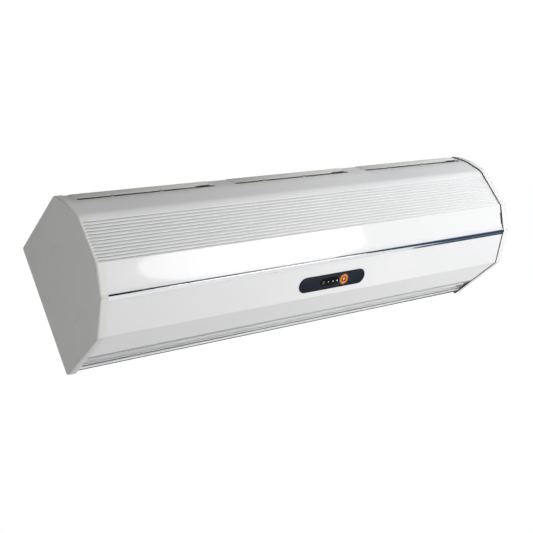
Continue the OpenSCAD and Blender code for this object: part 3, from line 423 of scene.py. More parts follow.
def revolved(name, profile, steps=64):
    """A turned piece: its profile, as (radius, z), is spun round z."""
    clear_selection()
    bpy.ops.mesh.primitive_circle_add(vertices=len(profile), radius=BEAD_R, fill_type="NOTHING")
    piece = added(name)
    for vertex, (r, z) in zip(piece.data.vertices, profile):
        vertex.co = (r, 0, z)
    edit(piece)
    bpy.ops.mesh.select_all(action="SELECT")
    bpy.ops.mesh.spin(steps=steps, angle=2 * math.pi, center=(0, 0, 0), axis=(0, 0, 1))
    close_up()
    return piece


def stand_for(piece, *nodes):
    """The piece takes the nodes' place, body and finish."""
    body = BODY_OF[nodes[0]]
    slot = SLOT_OF[nodes[0]]
    piece.data.materials.clear()
    piece.data.materials.append(FINISHES[slot])
    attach(piece, body)
    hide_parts(*nodes)
    return piece


def second_finish(piece, finish, test):
    """Another finish on the faces that pass the test, given each one's middle and normal."""
    piece.data.materials.append(FINISHES[finish])
    last = len(piece.data.materials) - 1
    for face in piece.data.polygons:
        if test(face.center, face.normal):
            face.material_index = last


# ---- Shader groups that the finishes share ----

COLOUR, NUMBER, ARROW = "NodeSocketColor", "NodeSocketFloat", "NodeSocketVector"


def new_group(name, inputs, outputs):
    group = bpy.data.node_groups.new(name, "ShaderNodeTree")
    for label, kind, value in inputs:
        group.interface.new_socket(label, in_out="INPUT", socket_type=kind).default_value = value
    for label, kind in outputs:
        group.interface.new_socket(label, in_out="OUTPUT", socket_type=kind)
    given = group.nodes.new("NodeGroupInput").outputs
    return group, given, group.nodes.new("NodeGroupOutput").inputs


def put(tree, kind, inputs, **settings):
    """Adds a node; an input is given by name or number, as a value or a link."""
    made = tree.nodes.new(kind)
    for key, value in settings.items():
        setattr(made, key, value)
    for key, value in inputs.items():
        if isinstance(value, bpy.types.NodeSocket):
            tree.links.new(value, made.inputs[key])
        else:
            made.inputs[key].default_value = value
    return made


def noise(tree, vector, scale, detail):
    made = put(tree, "ShaderNodeTexNoise", {"Vector": vector, "Scale": scale, "Detail": detail})
    return made.outputs["Fac"]


def spread(tree, value, low, high, to_low=0.0, to_high=1.0):
    made = put(tree, "ShaderNodeMapRange", {"Value": value, "From Min": low, "From Max": high,
                                            "To Min": to_low, "To Max": to_high})
    return made.outputs["Result"]


def mix(tree, share, a, b):
    return put(tree, "ShaderNodeMix", {0: share, 6: a, 7: b}, data_type="RGBA").outputs[2]


def reckon(tree, operation, a, b):
    return put(tree, "ShaderNodeMath", {0: a, 1: b}, operation=operation).outputs[0]


def times(tree, a, b):
    return reckon(tree, "MULTIPLY", a, b)


def plus(tree, a, b):
    return reckon(tree, "ADD", a, b)


def object_place(tree):
    return tree.nodes.new("ShaderNodeTexCoord").outputs["Object"]


def along_x(tree):
    return put(tree, "ShaderNodeSeparateXYZ", {0: object_place(tree)}).outputs["X"]


def colour_drift_group():
    """Slow, faint drift of a colour over the surface."""
    group, given, result = new_group(
        "colour_drift",
        [("Colour", COLOUR, (1, 1, 1, 1)), ("Amount", NUMBER, 0.04), ("Scale", NUMBER, 9.0)],
        [("Colour", COLOUR)])
    cloud = noise(group, object_place(group), given["Scale"], 3.0)
    share = times(group, spread(group, cloud, 0.3, 0.7, 1.0, 0.0), given["Amount"])
    group.links.new(mix(group, share, given["Colour"], (0, 0, 0, 1)), result["Colour"])
    return group


def settled_dust_group():
    """Thin dust on faces that look up, in soft patches."""
    group, given, result = new_group(
        "settled_dust",
        [("Colour", COLOUR, (1, 1, 1, 1)), ("Roughness", NUMBER, 0.4), ("Amount", NUMBER, 0.2)],
        [("Colour", COLOUR), ("Roughness", NUMBER)])
    normal = group.nodes.new("ShaderNodeNewGeometry").outputs["Normal"]
    facing = put(group, "ShaderNodeSeparateXYZ", {0: normal}).outputs["Z"]
    up = spread(group, facing, 0.55, 1.0)
    patches = spread(group, noise(group, object_place(group), 38.0, 5.0), 0.35, 0.75)
    share = times(group, times(group, up, patches), given["Amount"])
    group.links.new(mix(group, share, given["Colour"], (0.42, 0.4, 0.36, 1)), result["Colour"])
    rise = times(group, share, 0.5)
    group.links.new(plus(group, given["Roughness"], rise), result["Roughness"])
    return group


def handling_group():
    """Roughness with faint wiped smears."""
    group, given, result = new_group(
        "handling_smears", [("Roughness", NUMBER, 0.3), ("Amount", NUMBER, 0.05)],
        [("Roughness", NUMBER)])
    place = put(group, "ShaderNodeMapping",
                {"Vector": object_place(group), "Rotation": (0.4, 0.2, 0.5),
                 "Scale": (14.0, 60.0, 60.0)}).outputs[0]
    smear = spread(group, noise(group, place, 1.0, 4.0), 0.35, 0.65, -0.5, 0.5)
    rough = plus(group, given["Roughness"], times(group, smear, given["Amount"]))
    group.links.new(rough, result["Roughness"])
    return group


def edge_wear_group():
    """A lighter, rubbed tone along outer edges."""
    group, given, result = new_group(
        "edge_wear",
        [("Colour", COLOUR, (1, 1, 1, 1)), ("Worn", COLOUR, (1, 1, 1, 1)), ("Amount", NUMBER, 0.3)],
        [("Colour", COLOUR)])
    point = group.nodes.new("ShaderNodeNewGeometry").outputs["Pointiness"]
    rubbed = spread(group, point, 0.52, 0.6)
    broken = spread(group, noise(group, object_place(group), 160.0, 4.0), 0.4, 0.6)
    share = times(group, times(group, rubbed, broken), given["Amount"])
    group.links.new(mix(group, share, given["Colour"], given["Worn"]), result["Colour"])
    return group


def skin_group():
    """Height of a coated or moulded skin: fine cells over a slower swell."""
    group, given, result = new_group(
        "surface_skin",
        [("Cells", NUMBER, 900.0), ("Swell", NUMBER, 120.0), ("Swell share", NUMBER, 0.4)],
        [("Height", NUMBER)])
    place = object_place(group)
    cells = noise(group, place, given["Cells"], 2.0)
    swell = times(group, noise(group, place, given["Swell"], 1.0), given["Swell share"])
    group.links.new(plus(group, cells, swell), result["Height"])
    return group


def drawn_lines_group():
    """Fine lines along one way, as on drawn, brushed or turned metal."""
    group, given, result = new_group(
        "drawn_lines", [("Stretch", ARROW, (6.0, 2200.0, 2200.0))],
        [("Height", NUMBER), ("Mask", NUMBER)])
    scaled = put(group, "ShaderNodeVectorMath", {0: object_place(group), 1: given["Stretch"]},
                 operation="MULTIPLY").outputs[0]
    lines = noise(group, scaled, 1.0, 3.0)
    group.links.new(lines, result["Height"])
    group.links.new(spread(group, lines, 0.3, 0.7), result["Mask"])
    return group


DRIFT = colour_drift_group()
DUST = settled_dust_group()
HANDLING = handling_group()
WEAR = edge_wear_group()
SKIN = skin_group()
LINES = drawn_lines_group()


# ---- Finishes ----

def grouped(tree, group, inputs):
    return put(tree, "ShaderNodeGroup", inputs, node_tree=group).outputs


def bare_finish(name):
    """A new material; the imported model's plain one of that name gives way."""
    if name in bpy.data.materials:
        bpy.data.materials.remove(bpy.data.materials[name])
    material = bpy.data.materials.new(name)
    material.use_nodes = True
    tree = material.node_tree
    return material, tree, tree.nodes["Principled BSDF"]


def dressed_colour(tree, colour, drift, worn, wear, dust, roughness, handling):
    """Colour and roughness after drift, wear, smears and dust."""
    shade = grouped(tree, DRIFT, {"Colour": (*colour, 1), "Amount": drift})["Colour"]
    shade = grouped(tree, WEAR, {"Colour": shade, "Worn": (*worn, 1), "Amount": wear})["Colour"]
    rough = grouped(tree, HANDLING, {"Roughness": roughness, "Amount": handling})["Roughness"]
    return grouped(tree, DUST, {"Colour": shade, "Roughness": rough, "Amount": dust})


def dress(tree, shader, colour, roughness, height, relief):
    """Relief is how far the height's full range stands out, in microns."""
    tree.links.new(colour, shader.inputs["Base Color"])
    tree.links.new(roughness, shader.inputs["Roughness"])
    made = put(tree, "ShaderNodeBump",
               {"Height": height, "Distance": relief * MICRON, "Strength": 1.0})
    tree.links.new(made.outputs["Normal"], shader.inputs["Normal"])


def skinned(name, colour, roughness, worn=None, drift=0.03, wear=0.1, dust=0.12, handling=0.05,
            cells=900.0, swell=120.0, swell_share=0.4, relief=10, coat=0.0,
            coat_roughness=0.05, sheen=0.0, specular=0.5):
    """Paint, plastic or rubber: a plain colour under a skin of fine relief."""
    material, tree, shader = bare_finish(name)
    look = dressed_colour(tree, colour, drift, worn or colour, wear, dust, roughness, handling)
    for socket, value in (("Coat Weight", coat), ("Coat Roughness", coat_roughness),
                          ("Sheen Weight", sheen), ("Specular IOR Level", specular)):
        shader.inputs[socket].default_value = value
    height = grouped(tree, SKIN, {"Cells": cells, "Swell": swell, "Swell share": swell_share})
    dress(tree, shader, look["Colour"], look["Roughness"], height["Height"], relief)
    return material


def drawn(name, colour, roughness, stretch, relief, line_share=0.12, dust=0.1, handling=0.08,
          drift=0.04, wear=0.2):
    """Bare metal with fine lines in its finish."""
    material, tree, shader = bare_finish(name)
    look = dressed_colour(tree, colour, drift, colour, wear, dust, roughness, handling)
    lines = grouped(tree, LINES, {"Stretch": stretch})
    dark = tuple(0.7 * part for part in colour) + (1,)
    toned = mix(tree, times(tree, lines["Mask"], line_share), look["Colour"], dark)
    shader.inputs["Metallic"].default_value = 1.0
    dress(tree, shader, toned, look["Roughness"], lines["Height"], relief)
    return material


def groove_shade_finish():
    """Painted shade in the roots of the grooves: dark grey at the left end, paling to light grey
    towards the right end.
    """
    material = skinned("painted_groove_shade", (0.24, 0.24, 0.24), 0.6, drift=0.1, wear=0.0, dust=0.2)
    tree = material.node_tree
    colour = tree.nodes["Principled BSDF"].inputs["Base Color"]
    # Painted shade: dark at the left end, paling along X to its lightest towards the right end
    pale_share = spread(tree, along_x(tree), -HALF_L, GROOVE_SHADE_PALE_X)
    toned = mix(tree, pale_share, colour.links[0].from_socket, (0.8, 0.8, 0.81, 1))
    tree.links.new(toned, colour)
    return material


def galvanised_finish():
    """Zinc coat: a spangle of flat crystals, dull with age."""
    material, tree, shader = bare_finish("galvanised_steel")
    look = dressed_colour(tree, (0.6, 0.61, 0.62), 0.06, (0.7, 0.71, 0.72), 0.3, 0.25, 0.42, 0.1)
    spangle = put(tree, "ShaderNodeTexVoronoi", {"Vector": object_place(tree), "Scale": 130.0})
    tone = put(tree, "ShaderNodeSeparateColor", {0: spangle.outputs["Color"]}).outputs[0]
    toned = mix(tree, times(tree, tone, 0.35), look["Colour"], (0.4, 0.42, 0.45, 1))
    rough = plus(tree, look["Roughness"], times(tree, tone, 0.12))
    shader.inputs["Metallic"].default_value = 1.0
    dress(tree, shader, toned, rough, tone, 8)
    return material


def circuit_board_finish():
    """Green mask over copper tracks that run square to each other."""
    material, tree, shader = bare_finish("circuit_board")
    look = dressed_colour(tree, (0.012, 0.11, 0.045), 0.1, (0.05, 0.2, 0.1), 0.2, 0.15, 0.35, 0.1)
    tracks = put(tree, "ShaderNodeTexBrick",
                 {"Vector": object_place(tree), "Scale": 160.0, "Mortar Size": 0.06,
                  "Brick Width": 1.7, "Row Height": 0.45}).outputs["Fac"]
    toned = mix(tree, times(tree, tracks, 0.6), look["Colour"], (0.03, 0.26, 0.1, 1))
    dress(tree, shader, toned, look["Roughness"], tracks, 30)
    return material


def cover_and_panel_finishes():
    return [
        skinned("white_cover", (0.865, 0.866, 0.87), 0.3, drift=0.015, wear=0.0, dust=0.06,
                handling=0.03, cells=700, swell=60, swell_share=1.2, relief=4, coat=0.6,
                coat_roughness=0.035),
        skinned("cap_plastic", (0.83, 0.825, 0.8), 0.42, worn=(0.88, 0.875, 0.86), wear=0.2,
                dust=0.08, cells=1500, swell=300, swell_share=0.5, relief=30, handling=0.08),
        skinned("grille_plastic", (0.86, 0.86, 0.82), 0.5, cells=1400, swell=260, relief=20),
        skinned("navy_plastic", (0.007, 0.011, 0.02), 0.42, worn=(0.04, 0.05, 0.075), wear=0.25,
                dust=0.02, cells=2200, relief=12, specular=0.2, handling=0.12),
        skinned("black_lens", (0.002, 0.002, 0.003), 0.1, wear=0.0, dust=0.01, cells=600,
                relief=1.5, specular=0.08, handling=0.06),
        skinned("orange_ring", (0.93, 0.27, 0.015), 0.25, worn=(1, 0.5, 0.15), wear=0.3,
                dust=0.0, cells=1500, relief=4, coat=0.8),
        skinned("amber_button", (0.22, 0.035, 0.004), 0.28, worn=(0.5, 0.15, 0.03), wear=0.3,
                dust=0.0, cells=1800, relief=6, coat=0.6),
        skinned("pale_amber", (0.95, 0.5, 0.12), 0.3, worn=(1.0, 0.75, 0.4), wear=0.2,
                dust=0.0, cells=1800, relief=4, coat=0.5),
        skinned("dim_print", (0.2, 0.22, 0.17), 0.4, dust=0.0, cells=2500, relief=2),
        skinned("white_print", (0.75, 0.77, 0.74), 0.4, dust=0.0, cells=2500, relief=2),
        groove_shade_finish(),
    ]


def metal_finishes():
    return [
        drawn("bright_trim", (0.88, 0.89, 0.91), 0.06, (3.0, 900.0, 900.0), relief=0.8,
              line_share=0.05, dust=0.03, handling=0.03, drift=0.02, wear=0.05),
        drawn("bright_aluminium", (0.9, 0.9, 0.91), 0.28, (5.0, 1900.0, 1900.0), relief=1.2),
        drawn("bare_steel", (0.56, 0.56, 0.57), 0.3, (1500.0, 90.0, 90.0), relief=10),
        drawn("winding_copper", (0.6, 0.22, 0.08), 0.34, (1400.0, 40.0, 40.0), relief=200,
              line_share=0.8, dust=0.0),
        galvanised_finish(),
        skinned("white_coated_steel", (0.84, 0.85, 0.86), 0.4, dust=0.3, cells=800, swell=90),
        skinned("dull_coat", (0.52, 0.53, 0.55), 0.55, dust=0.1),
        skinned("motor_paint", (0.035, 0.035, 0.04), 0.38, worn=(0.1, 0.1, 0.1), wear=0.4,
                dust=0.3, cells=600, relief=20),
    ]


def inner_finishes():
    return [
        circuit_board_finish(),
        skinned("black_plastic", (0.02, 0.02, 0.022), 0.45, worn=(0.06, 0.06, 0.06), wear=0.3,
                cells=1500, relief=20),
        skinned("black_rubber", (0.025, 0.025, 0.025), 0.75, cells=1800, relief=30, sheen=0.2),
        skinned("impeller_plastic", (0.55, 0.57, 0.6), 0.5, dust=0.35, cells=1300, relief=20),
        skinned("led_lens", (0.82, 0.82, 0.76), 0.2, dust=0.0, cells=1500, relief=4),
        skinned("tray_plastic", (0.7, 0.7, 0.68), 0.45, dust=0.2, cells=1200, relief=20),
        skinned("component_plastic", (0.05, 0.07, 0.1), 0.4, dust=0.2, cells=1600, relief=20),
        skinned("terminal_plastic", (0.72, 0.68, 0.55), 0.42, dust=0.15, cells=1400),
        skinned("lead_sheath", (0.028, 0.028, 0.032), 0.5, cells=1600, relief=20),
    ]


FINISHES = {material.name: material for material in
            cover_and_panel_finishes() + metal_finishes() + inner_finishes()}


def dress_nodes():
    """Every construction node gets its slot's finish."""
    for name, node in frame["nodes"].items():
        node.data.materials.clear()
        node.data.materials.append(FINISHES[SLOT_OF[name]])


# ---- Covers and trim ----

INLET_REAR_D = 75 * MM
INLET_LOW_H = BODY_H - 24 * MM
OUTLET_FRONT_D = 63 * MM
PANEL_X = 4 * MM
PANEL_S = 26.1 * MM             # from the bottom corner, up the lower facet
PANEL_L = 148 * MM
PANEL_W = 28.5 * MM
PANEL_PROUD = 1.2 * MM
PANEL_EDGE = 2 * MM
GRILLES = ("inlet_grille_left", "inlet_grille_centre", "inlet_grille_right")
PANEL_AT = (Vector(CORNERS[AT_BOTTOM][:2]) + edge_dir(FACET_LOW) * PANEL_S
            + inward(FACET_LOW) * COVER_STEP)
PANEL_TURN = math.atan2(edge_dir(FACET_LOW).y, edge_dir(FACET_LOW).x)
# In the panel's own frame z = 0 is the cover's outer face and +z points outwards
PANEL_PLACE = (Matrix.Translation(at(PANEL_X, *PANEL_AT))
               @ Matrix.Rotation(math.pi - PANEL_TURN, 4, "X"))


def inlet_ends(grille):
    low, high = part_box(grille)
    return low.x - FIT, high.x + FIT


def in_root(base):
    """A test for the faces in the roots of the front's grooves."""
    low, high = groove_heights()[0] - MM - MOUNT_H, groove_heights()[-1] + MM - MOUNT_H
    corner, inwards = at(0, *CORNERS[AT_CHIN][:2]), at(0, *inward(FRONT)) - at(0, 0, 0)

    def test(middle, normal):
        deep = (Vector((0, middle.y, middle.z)) - corner).dot(inwards) - base
        straight = abs(middle.x) < HALF_L - CAP_ROUND and abs(normal.x) < 0.5
        return straight and low < middle.z < high and ROOT_SHARE * RIB_DEEP < deep < RIB_DEEP
    return test


def upper_cover():
    """Ribbed extrusion from the trim, over the chin and brow, to the wall side of the top."""
    rear_top = [p for p in fillet(AT_REAR, even(COVER_STEP)) if p.y > TOP_INNER_H]
    outer = ([on_edge(FACET_HIGH, COVER_STEP, h=TRIM_TOP_H)]
             + chain(even(COVER_STEP), AT_CHIN, AT_TOP, base=COVER_STEP) + rear_top
             + [(COVER_STEP, TOP_INNER_H)])
    inner = ([on_edge(FACET_HIGH, COVER_IN, h=TRIM_TOP_H)]
             + chain(even(COVER_IN), AT_CHIN, AT_TOP))
    piece = prism("upper_cover_extrusion", outer + inner[::-1], -SEAM_X, UPPER_END_X)
    cut_out(piece, *[block("inlet_cutter", *inlet_ends(grille), INLET_REAR_D, BODY_D, INLET_LOW_H,
                           BODY_H + COVER_T) for grille in GRILLES])
    stand_for(smooth(piece, 30), "upper_cover")
    # The roots of the front's grooves get painted shade
    second_finish(piece, "painted_groove_shade", in_root(COVER_STEP))


def lower_cover():
    """Plain extrusion under the trim: the lower facet and the flat bottom."""
    outer, inner = [[(OUTLET_FRONT_D + FIT, inset)] + fillet(AT_BOTTOM, even(inset))
                    + [on_edge(FACET_LOW, inset, d=TRIM_LOW_D)] for inset in (COVER_STEP, COVER_IN)]
    piece = prism("lower_cover_extrusion", outer + inner[::-1], -SEAM_X, LOWER_END_X)
    opening = obround("panel_cutter", PANEL_L - 2 * PANEL_EDGE, PANEL_W - 2 * PANEL_EDGE,
                      -2 * COVER_T, COVER_T)
    cut_out(piece, settle(opening, PANEL_PLACE))
    stand_for(smooth(piece, 30), "lower_cover")


TRIM_RECESS = 0.3 * MM
TRIM_FLANGE = 8 * MM
TRIM_FLANGE_T = 1.2 * MM


def trim_strip():
    """Joining strip: two narrow faces, a round bead between them and a hidden flange each."""
    face_in = COVER_STEP + TRIM_RECESS
    back_in = COVER_IN + TRIM_FLANGE_T
    high, low = TRIM_TOP_H - SLIP, TRIM_LOW_D + SLIP
    flange_h, flange_d = TRIM_TOP_H + TRIM_FLANGE, TRIM_LOW_D - TRIM_FLANGE
    bead = bead_arc(BEAD_AT, BEAD_GAP - face_in, BEAD_R)
    ring = ([on_edge(FACET_LOW, COVER_IN, d=low), on_edge(FACET_LOW, face_in, d=low)] + bead
            + [on_edge(FACET_HIGH, face_in, h=high), on_edge(FACET_HIGH, COVER_IN, h=high),
               on_edge(FACET_HIGH, COVER_IN, h=flange_h), on_edge(FACET_HIGH, back_in, h=flange_h),
               inset_corner(AT_BELT, even(back_in)), on_edge(FACET_LOW, back_in, d=flange_d),
               on_edge(FACET_LOW, COVER_IN, d=flange_d)])
    piece = prism("trim_strip_moulding", ring, -SEAM_X, SEAM_X)
    stand_for(smooth(piece, 30), "trim_strip")
    upper = at(0, *bead[-1]).z
    slant = at(0, *-inward(FACET_HIGH)) - at(0, 0, 0)
    second_finish(piece, "white_cover",
                  lambda middle, normal: middle.z > upper and normal.dot(slant) > 0.99)


# ---- End caps ----

CAP_WALL = 2.5 * MM
CAP_ROUND = 6 * MM
CAP_STEPS = 12
CAP_SQUARENESS = 0.56           # 1 is a plain round, less is squarer
CAP_FACE_INSETS = [8 * MM, 9 * MM, 8 * MM, 6 * MM, 3 * MM, 2 * MM, 1.2 * MM, 0.8 * MM]
CAP_RING_R = 62 * MM
CAP_RING_HALF_W = 1.1 * MM
CAP_RING_DEEP = 0.45 * MM
CAP_LIP_T = 1.5 * MM
CAP_LIP_L = 6 * MM
LIP_IN = COVER_IN + SLIP
LIP_REAR_D = INLET_REAR_D + 6 * MM
LIP_LOW_H = CHIN_H - 12 * MM
BOSS_R = 4.5 * MM
BOSS_PLACES = [(40 * MM, BODY_H - 30 * MM), (KNEE[0] - 11.5 * MM, KNEE[1] - 18 * MM),
               (BELT[0] - 8.7 * MM, BELT[1] + 20.3 * MM), (34 * MM, 66 * MM)]
PILOT_R = 1.4 * MM
CABLE_AT = (100 * MM, 30 * MM)
CABLE_R = 4 * MM
GROMMET_NECK_R = CABLE_R + 2 * MM
GROMMET_FLANGE_R = CABLE_R + 4.5 * MM
GROMMET_FLANGE_T = 1.5 * MM


def cap_shell():
    """The moulded cap: inner wall, seam face, grooved collar and a soft round to its face."""
    wall = chain(even(CAP_WALL), 0, AT_REAR, base=0, bead=0)
    collar = chain(even(0), 0, AT_REAR, base=0, bead=1)
    stations = [(HALF_L - CAP_WALL, wall), (SEAM_X, wall), (SEAM_X, collar)]
    for k in range(CAP_STEPS + 1):
        turn = QUARTER * k / CAP_STEPS
        share = 1 - max(0, math.cos(turn)) ** CAP_SQUARENESS
        insets = [inset * share for inset in CAP_FACE_INSETS]
        x = HALF_L - CAP_ROUND * (1 - math.sin(turn) ** CAP_SQUARENESS)
        stations.append((x, chain(insets, 0, AT_REAR, base=0, bead=1 - share)))
    return loft("end_cap_moulding", stations)


def cap_lip():
    """The lip that reaches under the upper cover, from the chin to the inlets."""
    outer, inner = [[on_edge(FACET_HIGH, inset, h=LIP_LOW_H)] + chain(even(inset), AT_CHIN, AT_TOP)
                    + [(LIP_REAR_D, BODY_H - inset)] for inset in (LIP_IN, LIP_IN + CAP_LIP_T)]
    return prism("cap_lip", outer + inner[::-1], SEAM_X - CAP_LIP_L, HALF_L - CAP_WALL)


def seam_shade_faces(middle, normal):
    """The edge of a cap that meets the covers, and its lip behind the gap there: painted black as
    the shade in the seam.
    """
    on_lip = abs(middle.x) < SEAM_X + 2 * MM and abs(normal.x) < 0.5
    return on_lip or abs(normal.x) > 0.9 and abs(abs(middle.x) - SEAM_X) < NEAR


def finish_cap(piece, node):
    stand_for(smooth(piece, 32), node)
    # Painted shade: the seam faces and the lip behind the gap get the black finish
    second_finish(piece, "black_rubber", seam_shade_faces)
    # The roots of the collar's grooves get painted shade
    second_finish(piece, "painted_groove_shade", in_root(0))


def end_caps():
    inner_x = HALF_L - CAP_WALL
    shell = cap_shell()
    profile = [(CAP_RING_R - CAP_RING_HALF_W, 0.6 * MM), (CAP_RING_R, -CAP_RING_DEEP),
               (CAP_RING_R + CAP_RING_HALF_W, 0.6 * MM)]
    groove_place = Matrix.Translation((HALF_L, 0, 0)) @ lying(FAN_AXIS)
    cut_out(shell, settle(revolved("ring_cutter", profile, steps=128), groove_place))
    bosses = []
    for place in BOSS_PLACES:
        boss = rod("cap_boss", place, SEAM_X, inner_x, BOSS_R)
        cut_out(boss, rod("pilot_cutter", place, SEAM_X - MM, inner_x - MM, PILOT_R, 24))
        soften(boss, 0.3 * MM)
        bosses.append(boss)
    plain = join([shell, cap_lip()] + bosses, "cap_moulding")
    finish_cap(mirrored(plain, "end_cap_left_moulding"), "end_cap_left")
    cut_out(plain, rod("cable_cutter", CABLE_AT, inner_x - MM, HALF_L + MM, GROMMET_NECK_R),
            rod("flange_cutter", CABLE_AT, HALF_L - GROMMET_FLANGE_T, HALF_L + MM,
                GROMMET_FLANGE_R))
    plain.name = "end_cap_right_moulding"
    finish_cap(plain, "end_cap_right")


def cable_grommet():
    """A turned rubber ring with rounded lips on both sides of the cap's wall."""
    inner, outer = HALF_L - CAP_WALL - 2 * MM, HALF_L
    bore, neck, flange = CABLE_R, GROMMET_NECK_R, GROMMET_FLANGE_R
    neck_end = outer - GROMMET_FLANGE_T
    profile = [(bore, inner), (flange - 0.5 * MM, inner), (flange, inner + 0.6 * MM),
               (flange - 0.3 * MM, inner + 2 * MM), (neck, inner + 2 * MM), (neck, neck_end),
               (flange, neck_end), (flange - 0.1 * MM, outer - 0.5 * MM),
               (flange - 0.8 * MM, outer), (bore + 0.6 * MM, outer), (bore, outer - 0.6 * MM)]
    piece = settle(revolved("cable_grommet_turned", profile), lying(CABLE_AT))
    stand_for(smooth(piece), "cable_grommet")


# ---- Inlet grilles ----

GRILLE_T = 2 * MM
GRILLE_IN = 0.2 * MM
LIP_GAP = 4 * MM
SLOT_W = 3.2 * MM
SLOT_BAR = 3.2 * MM
SLOT_MARGIN = 8 * MM
SLOT_COLUMNS = 5
SLOT_FIRST_D = INLET_REAR_D + 8 * MM
CLIP_AT = (60 * MM, 149 * MM)
CLIP_W = 4 * MM
CLIP_T = 2 * MM
LATCH_H = 1.6 * MM
NOTCH_END = 7 * MM
NOTCH_L = 30 * MM
NOTCH_H = 3 * MM


def grille_section():
    """Front lip, slope, top and the rear hook under the cover."""
    rear = INLET_REAR_D + FIT
    inner = GRILLE_IN + GRILLE_T
    hook_low = TOP_INNER_H - 1.2 * MM
    lip = on_edge(SLOPE, GRILLE_IN, h=INLET_LOW_H + LIP_GAP)
    lip_back = on_edge(SLOPE, inner, h=INLET_LOW_H + LIP_GAP)
    nose = [lip + (lip_back - lip) * (0.5 - 0.5 * math.cos(a)) - Vector((0, 0.9 * MM * math.sin(a)))
            for a in [math.pi * k / 6 for k in range(1, 6)]]
    return ([lip_back] + nose[::-1] + [lip] + fillet(AT_TOP, even(GRILLE_IN))
            + [(rear, BODY_H - GRILLE_IN), (rear, TOP_INNER_H), (rear - 5 * MM, TOP_INNER_H),
               (rear - 5 * MM, hook_low), (rear + 2.7 * MM, hook_low),
               (rear + 2.7 * MM, BODY_H - inner)]
            + fillet(AT_TOP, even(inner))[::-1])


def slot_cutters(x0, x1):
    """One round-ended slot, repeated over the grille's top."""
    slot_l = (x1 - x0 - 2 * SLOT_MARGIN + SLOT_BAR) / SLOT_COLUMNS - SLOT_BAR
    rows = int((TOP_D - 4 * MM - SLOT_FIRST_D + SLOT_BAR) / (SLOT_W + SLOT_BAR))
    first = obround("slot_cutter", slot_l, SLOT_W, TOP_INNER_H - 2 * MM, BODY_H + MM, steps=8)
    slots = []
    for row in range(rows):
        for column in range(SLOT_COLUMNS):
            x = x0 + SLOT_MARGIN + column * (slot_l + SLOT_BAR) + slot_l / 2
            d = SLOT_FIRST_D + row * (SLOT_W + SLOT_BAR) + SLOT_W / 2
            slots.append(settle(copy_of(first, "slot"), Matrix.Translation(at(x, d, 0))))
    bpy.data.objects.remove(first)
    return join(slots, "slot_cutters")


def lip_cutter(name, x0, x1, rise):
    """Cuts higher into the lip's lower edge, between two places along it."""
    return block(name, x0, x1, TOP_D, BODY_D, INLET_LOW_H - LIP_GAP, INLET_LOW_H + LIP_GAP + rise)


def clip(x):
    """A latch post in the dark gap, with its catch behind the cover."""
    post_in = GRILLE_IN + GRILLE_T - 0.5 * MM
    low, high, catch_low = INLET_LOW_H + FIT, INLET_LOW_H + LIP_GAP + 8 * MM, INLET_LOW_H - 7 * MM
    ring = [on_edge(SLOPE, post_in, h=high), on_edge(SLOPE, post_in + CLIP_T, h=high),
            on_edge(SLOPE, post_in + CLIP_T, h=low), on_edge(BROW, COVER_IN + 1.4 * MM, h=catch_low),
            on_edge(BROW, COVER_IN, h=catch_low), on_edge(SLOPE, COVER_IN, h=low),
            on_edge(SLOPE, post_in, h=low)]
    piece = prism("grille_clip", ring, x, x + CLIP_W)
    soften(piece, 0.2 * MM, segments=1)
    return piece


def lip_gap_shade_faces(middle, normal):
    """The lip's edge, and what shows in the gap under it: painted black as the gap's shade."""
    return normal.z < -0.2 and middle.z < INLET_LOW_H + LIP_GAP + NOTCH_H - MOUNT_H


def inlet_grilles():
    for node in GRILLES:
        x0, x1 = inlet_ends(node)
        piece = prism(node + "_moulding", grille_section(), x0 + FIT, x1 - FIT)
        notch = lip_cutter("notch_cutter", x1 - NOTCH_END - NOTCH_L, x1 - NOTCH_END, NOTCH_H)
        latches = [lip_cutter("latch_cutter", x0 + x - MM, x0 + x + CLIP_W + MM, LATCH_H)
                   for x in CLIP_AT]
        cut_out(piece, slot_cutters(x0, x1), notch, *latches)
        soften(piece, 0.25 * MM, angle=50)
        clips = [clip(x0 + x) for x in CLIP_AT]
        whole = stand_for(smooth(join([piece] + clips, node + "_moulding")), node)
        # Painted shade: the lip's underside and the posts in the gap get the black finish
        second_finish(whole, "black_rubber", lip_gap_shade_faces)


# ---- Outlet ----

DUCT_FRONT_D = 57 * MM
DUCT_REAR_D = 17.4 * MM
SHEET_T = 1.2 * MM
BACK_RECESS = 12 * MM
RAIL_H = 1 * MM
RAIL_TOP_H = 4 * MM
RAIL_LEG_H = 14 * MM
SHADE_STRIP_W = 1.3 * MM
SHADE_STRIP_DEEP = 0.8 * MM
RAIL_BEAD_R = 1.25 * MM
RAIL_BEAD_GAP = 0.9 * MM
LOWER_BEAD_TOP_H = RAIL_H + SHADE_STRIP_DEEP + 2 * RAIL_BEAD_R


def on_rear_lip(middle):
    """The rear rail's beaded lip, which stands in the duct."""
    beaded = DUCT_REAR_D + 0.5 * MM < -middle.y < DUCT_FRONT_D - 10 * MM
    return beaded and middle.z + MOUNT_H > RAIL_H + 0.5 * MM


def rear_rail_shade_lines(middle, normal):
    """The narrow strip along the rear rail's wall side, and the groove between its beads: both
    painted black as lines of shade.
    """
    d, h = -middle.y, middle.z + MOUNT_H
    strip = d < BACK_RECESS + SHADE_STRIP_W + NEAR and h < RAIL_H + SHADE_STRIP_DEEP + NEAR
    groove = abs(h - LOWER_BEAD_TOP_H - RAIL_BEAD_GAP / 2) < RAIL_BEAD_GAP / 2 + NEAR
    return strip or groove and on_rear_lip(middle)


def on_rear_bead(middle, normal):
    """The two coated beads along the rear rail, on both sides of its groove."""
    return on_rear_lip(middle) and not rear_rail_shade_lines(middle, normal)


def on_front_underside(middle, normal):
    return -middle.y > DUCT_FRONT_D + MM and normal.z < -0.5


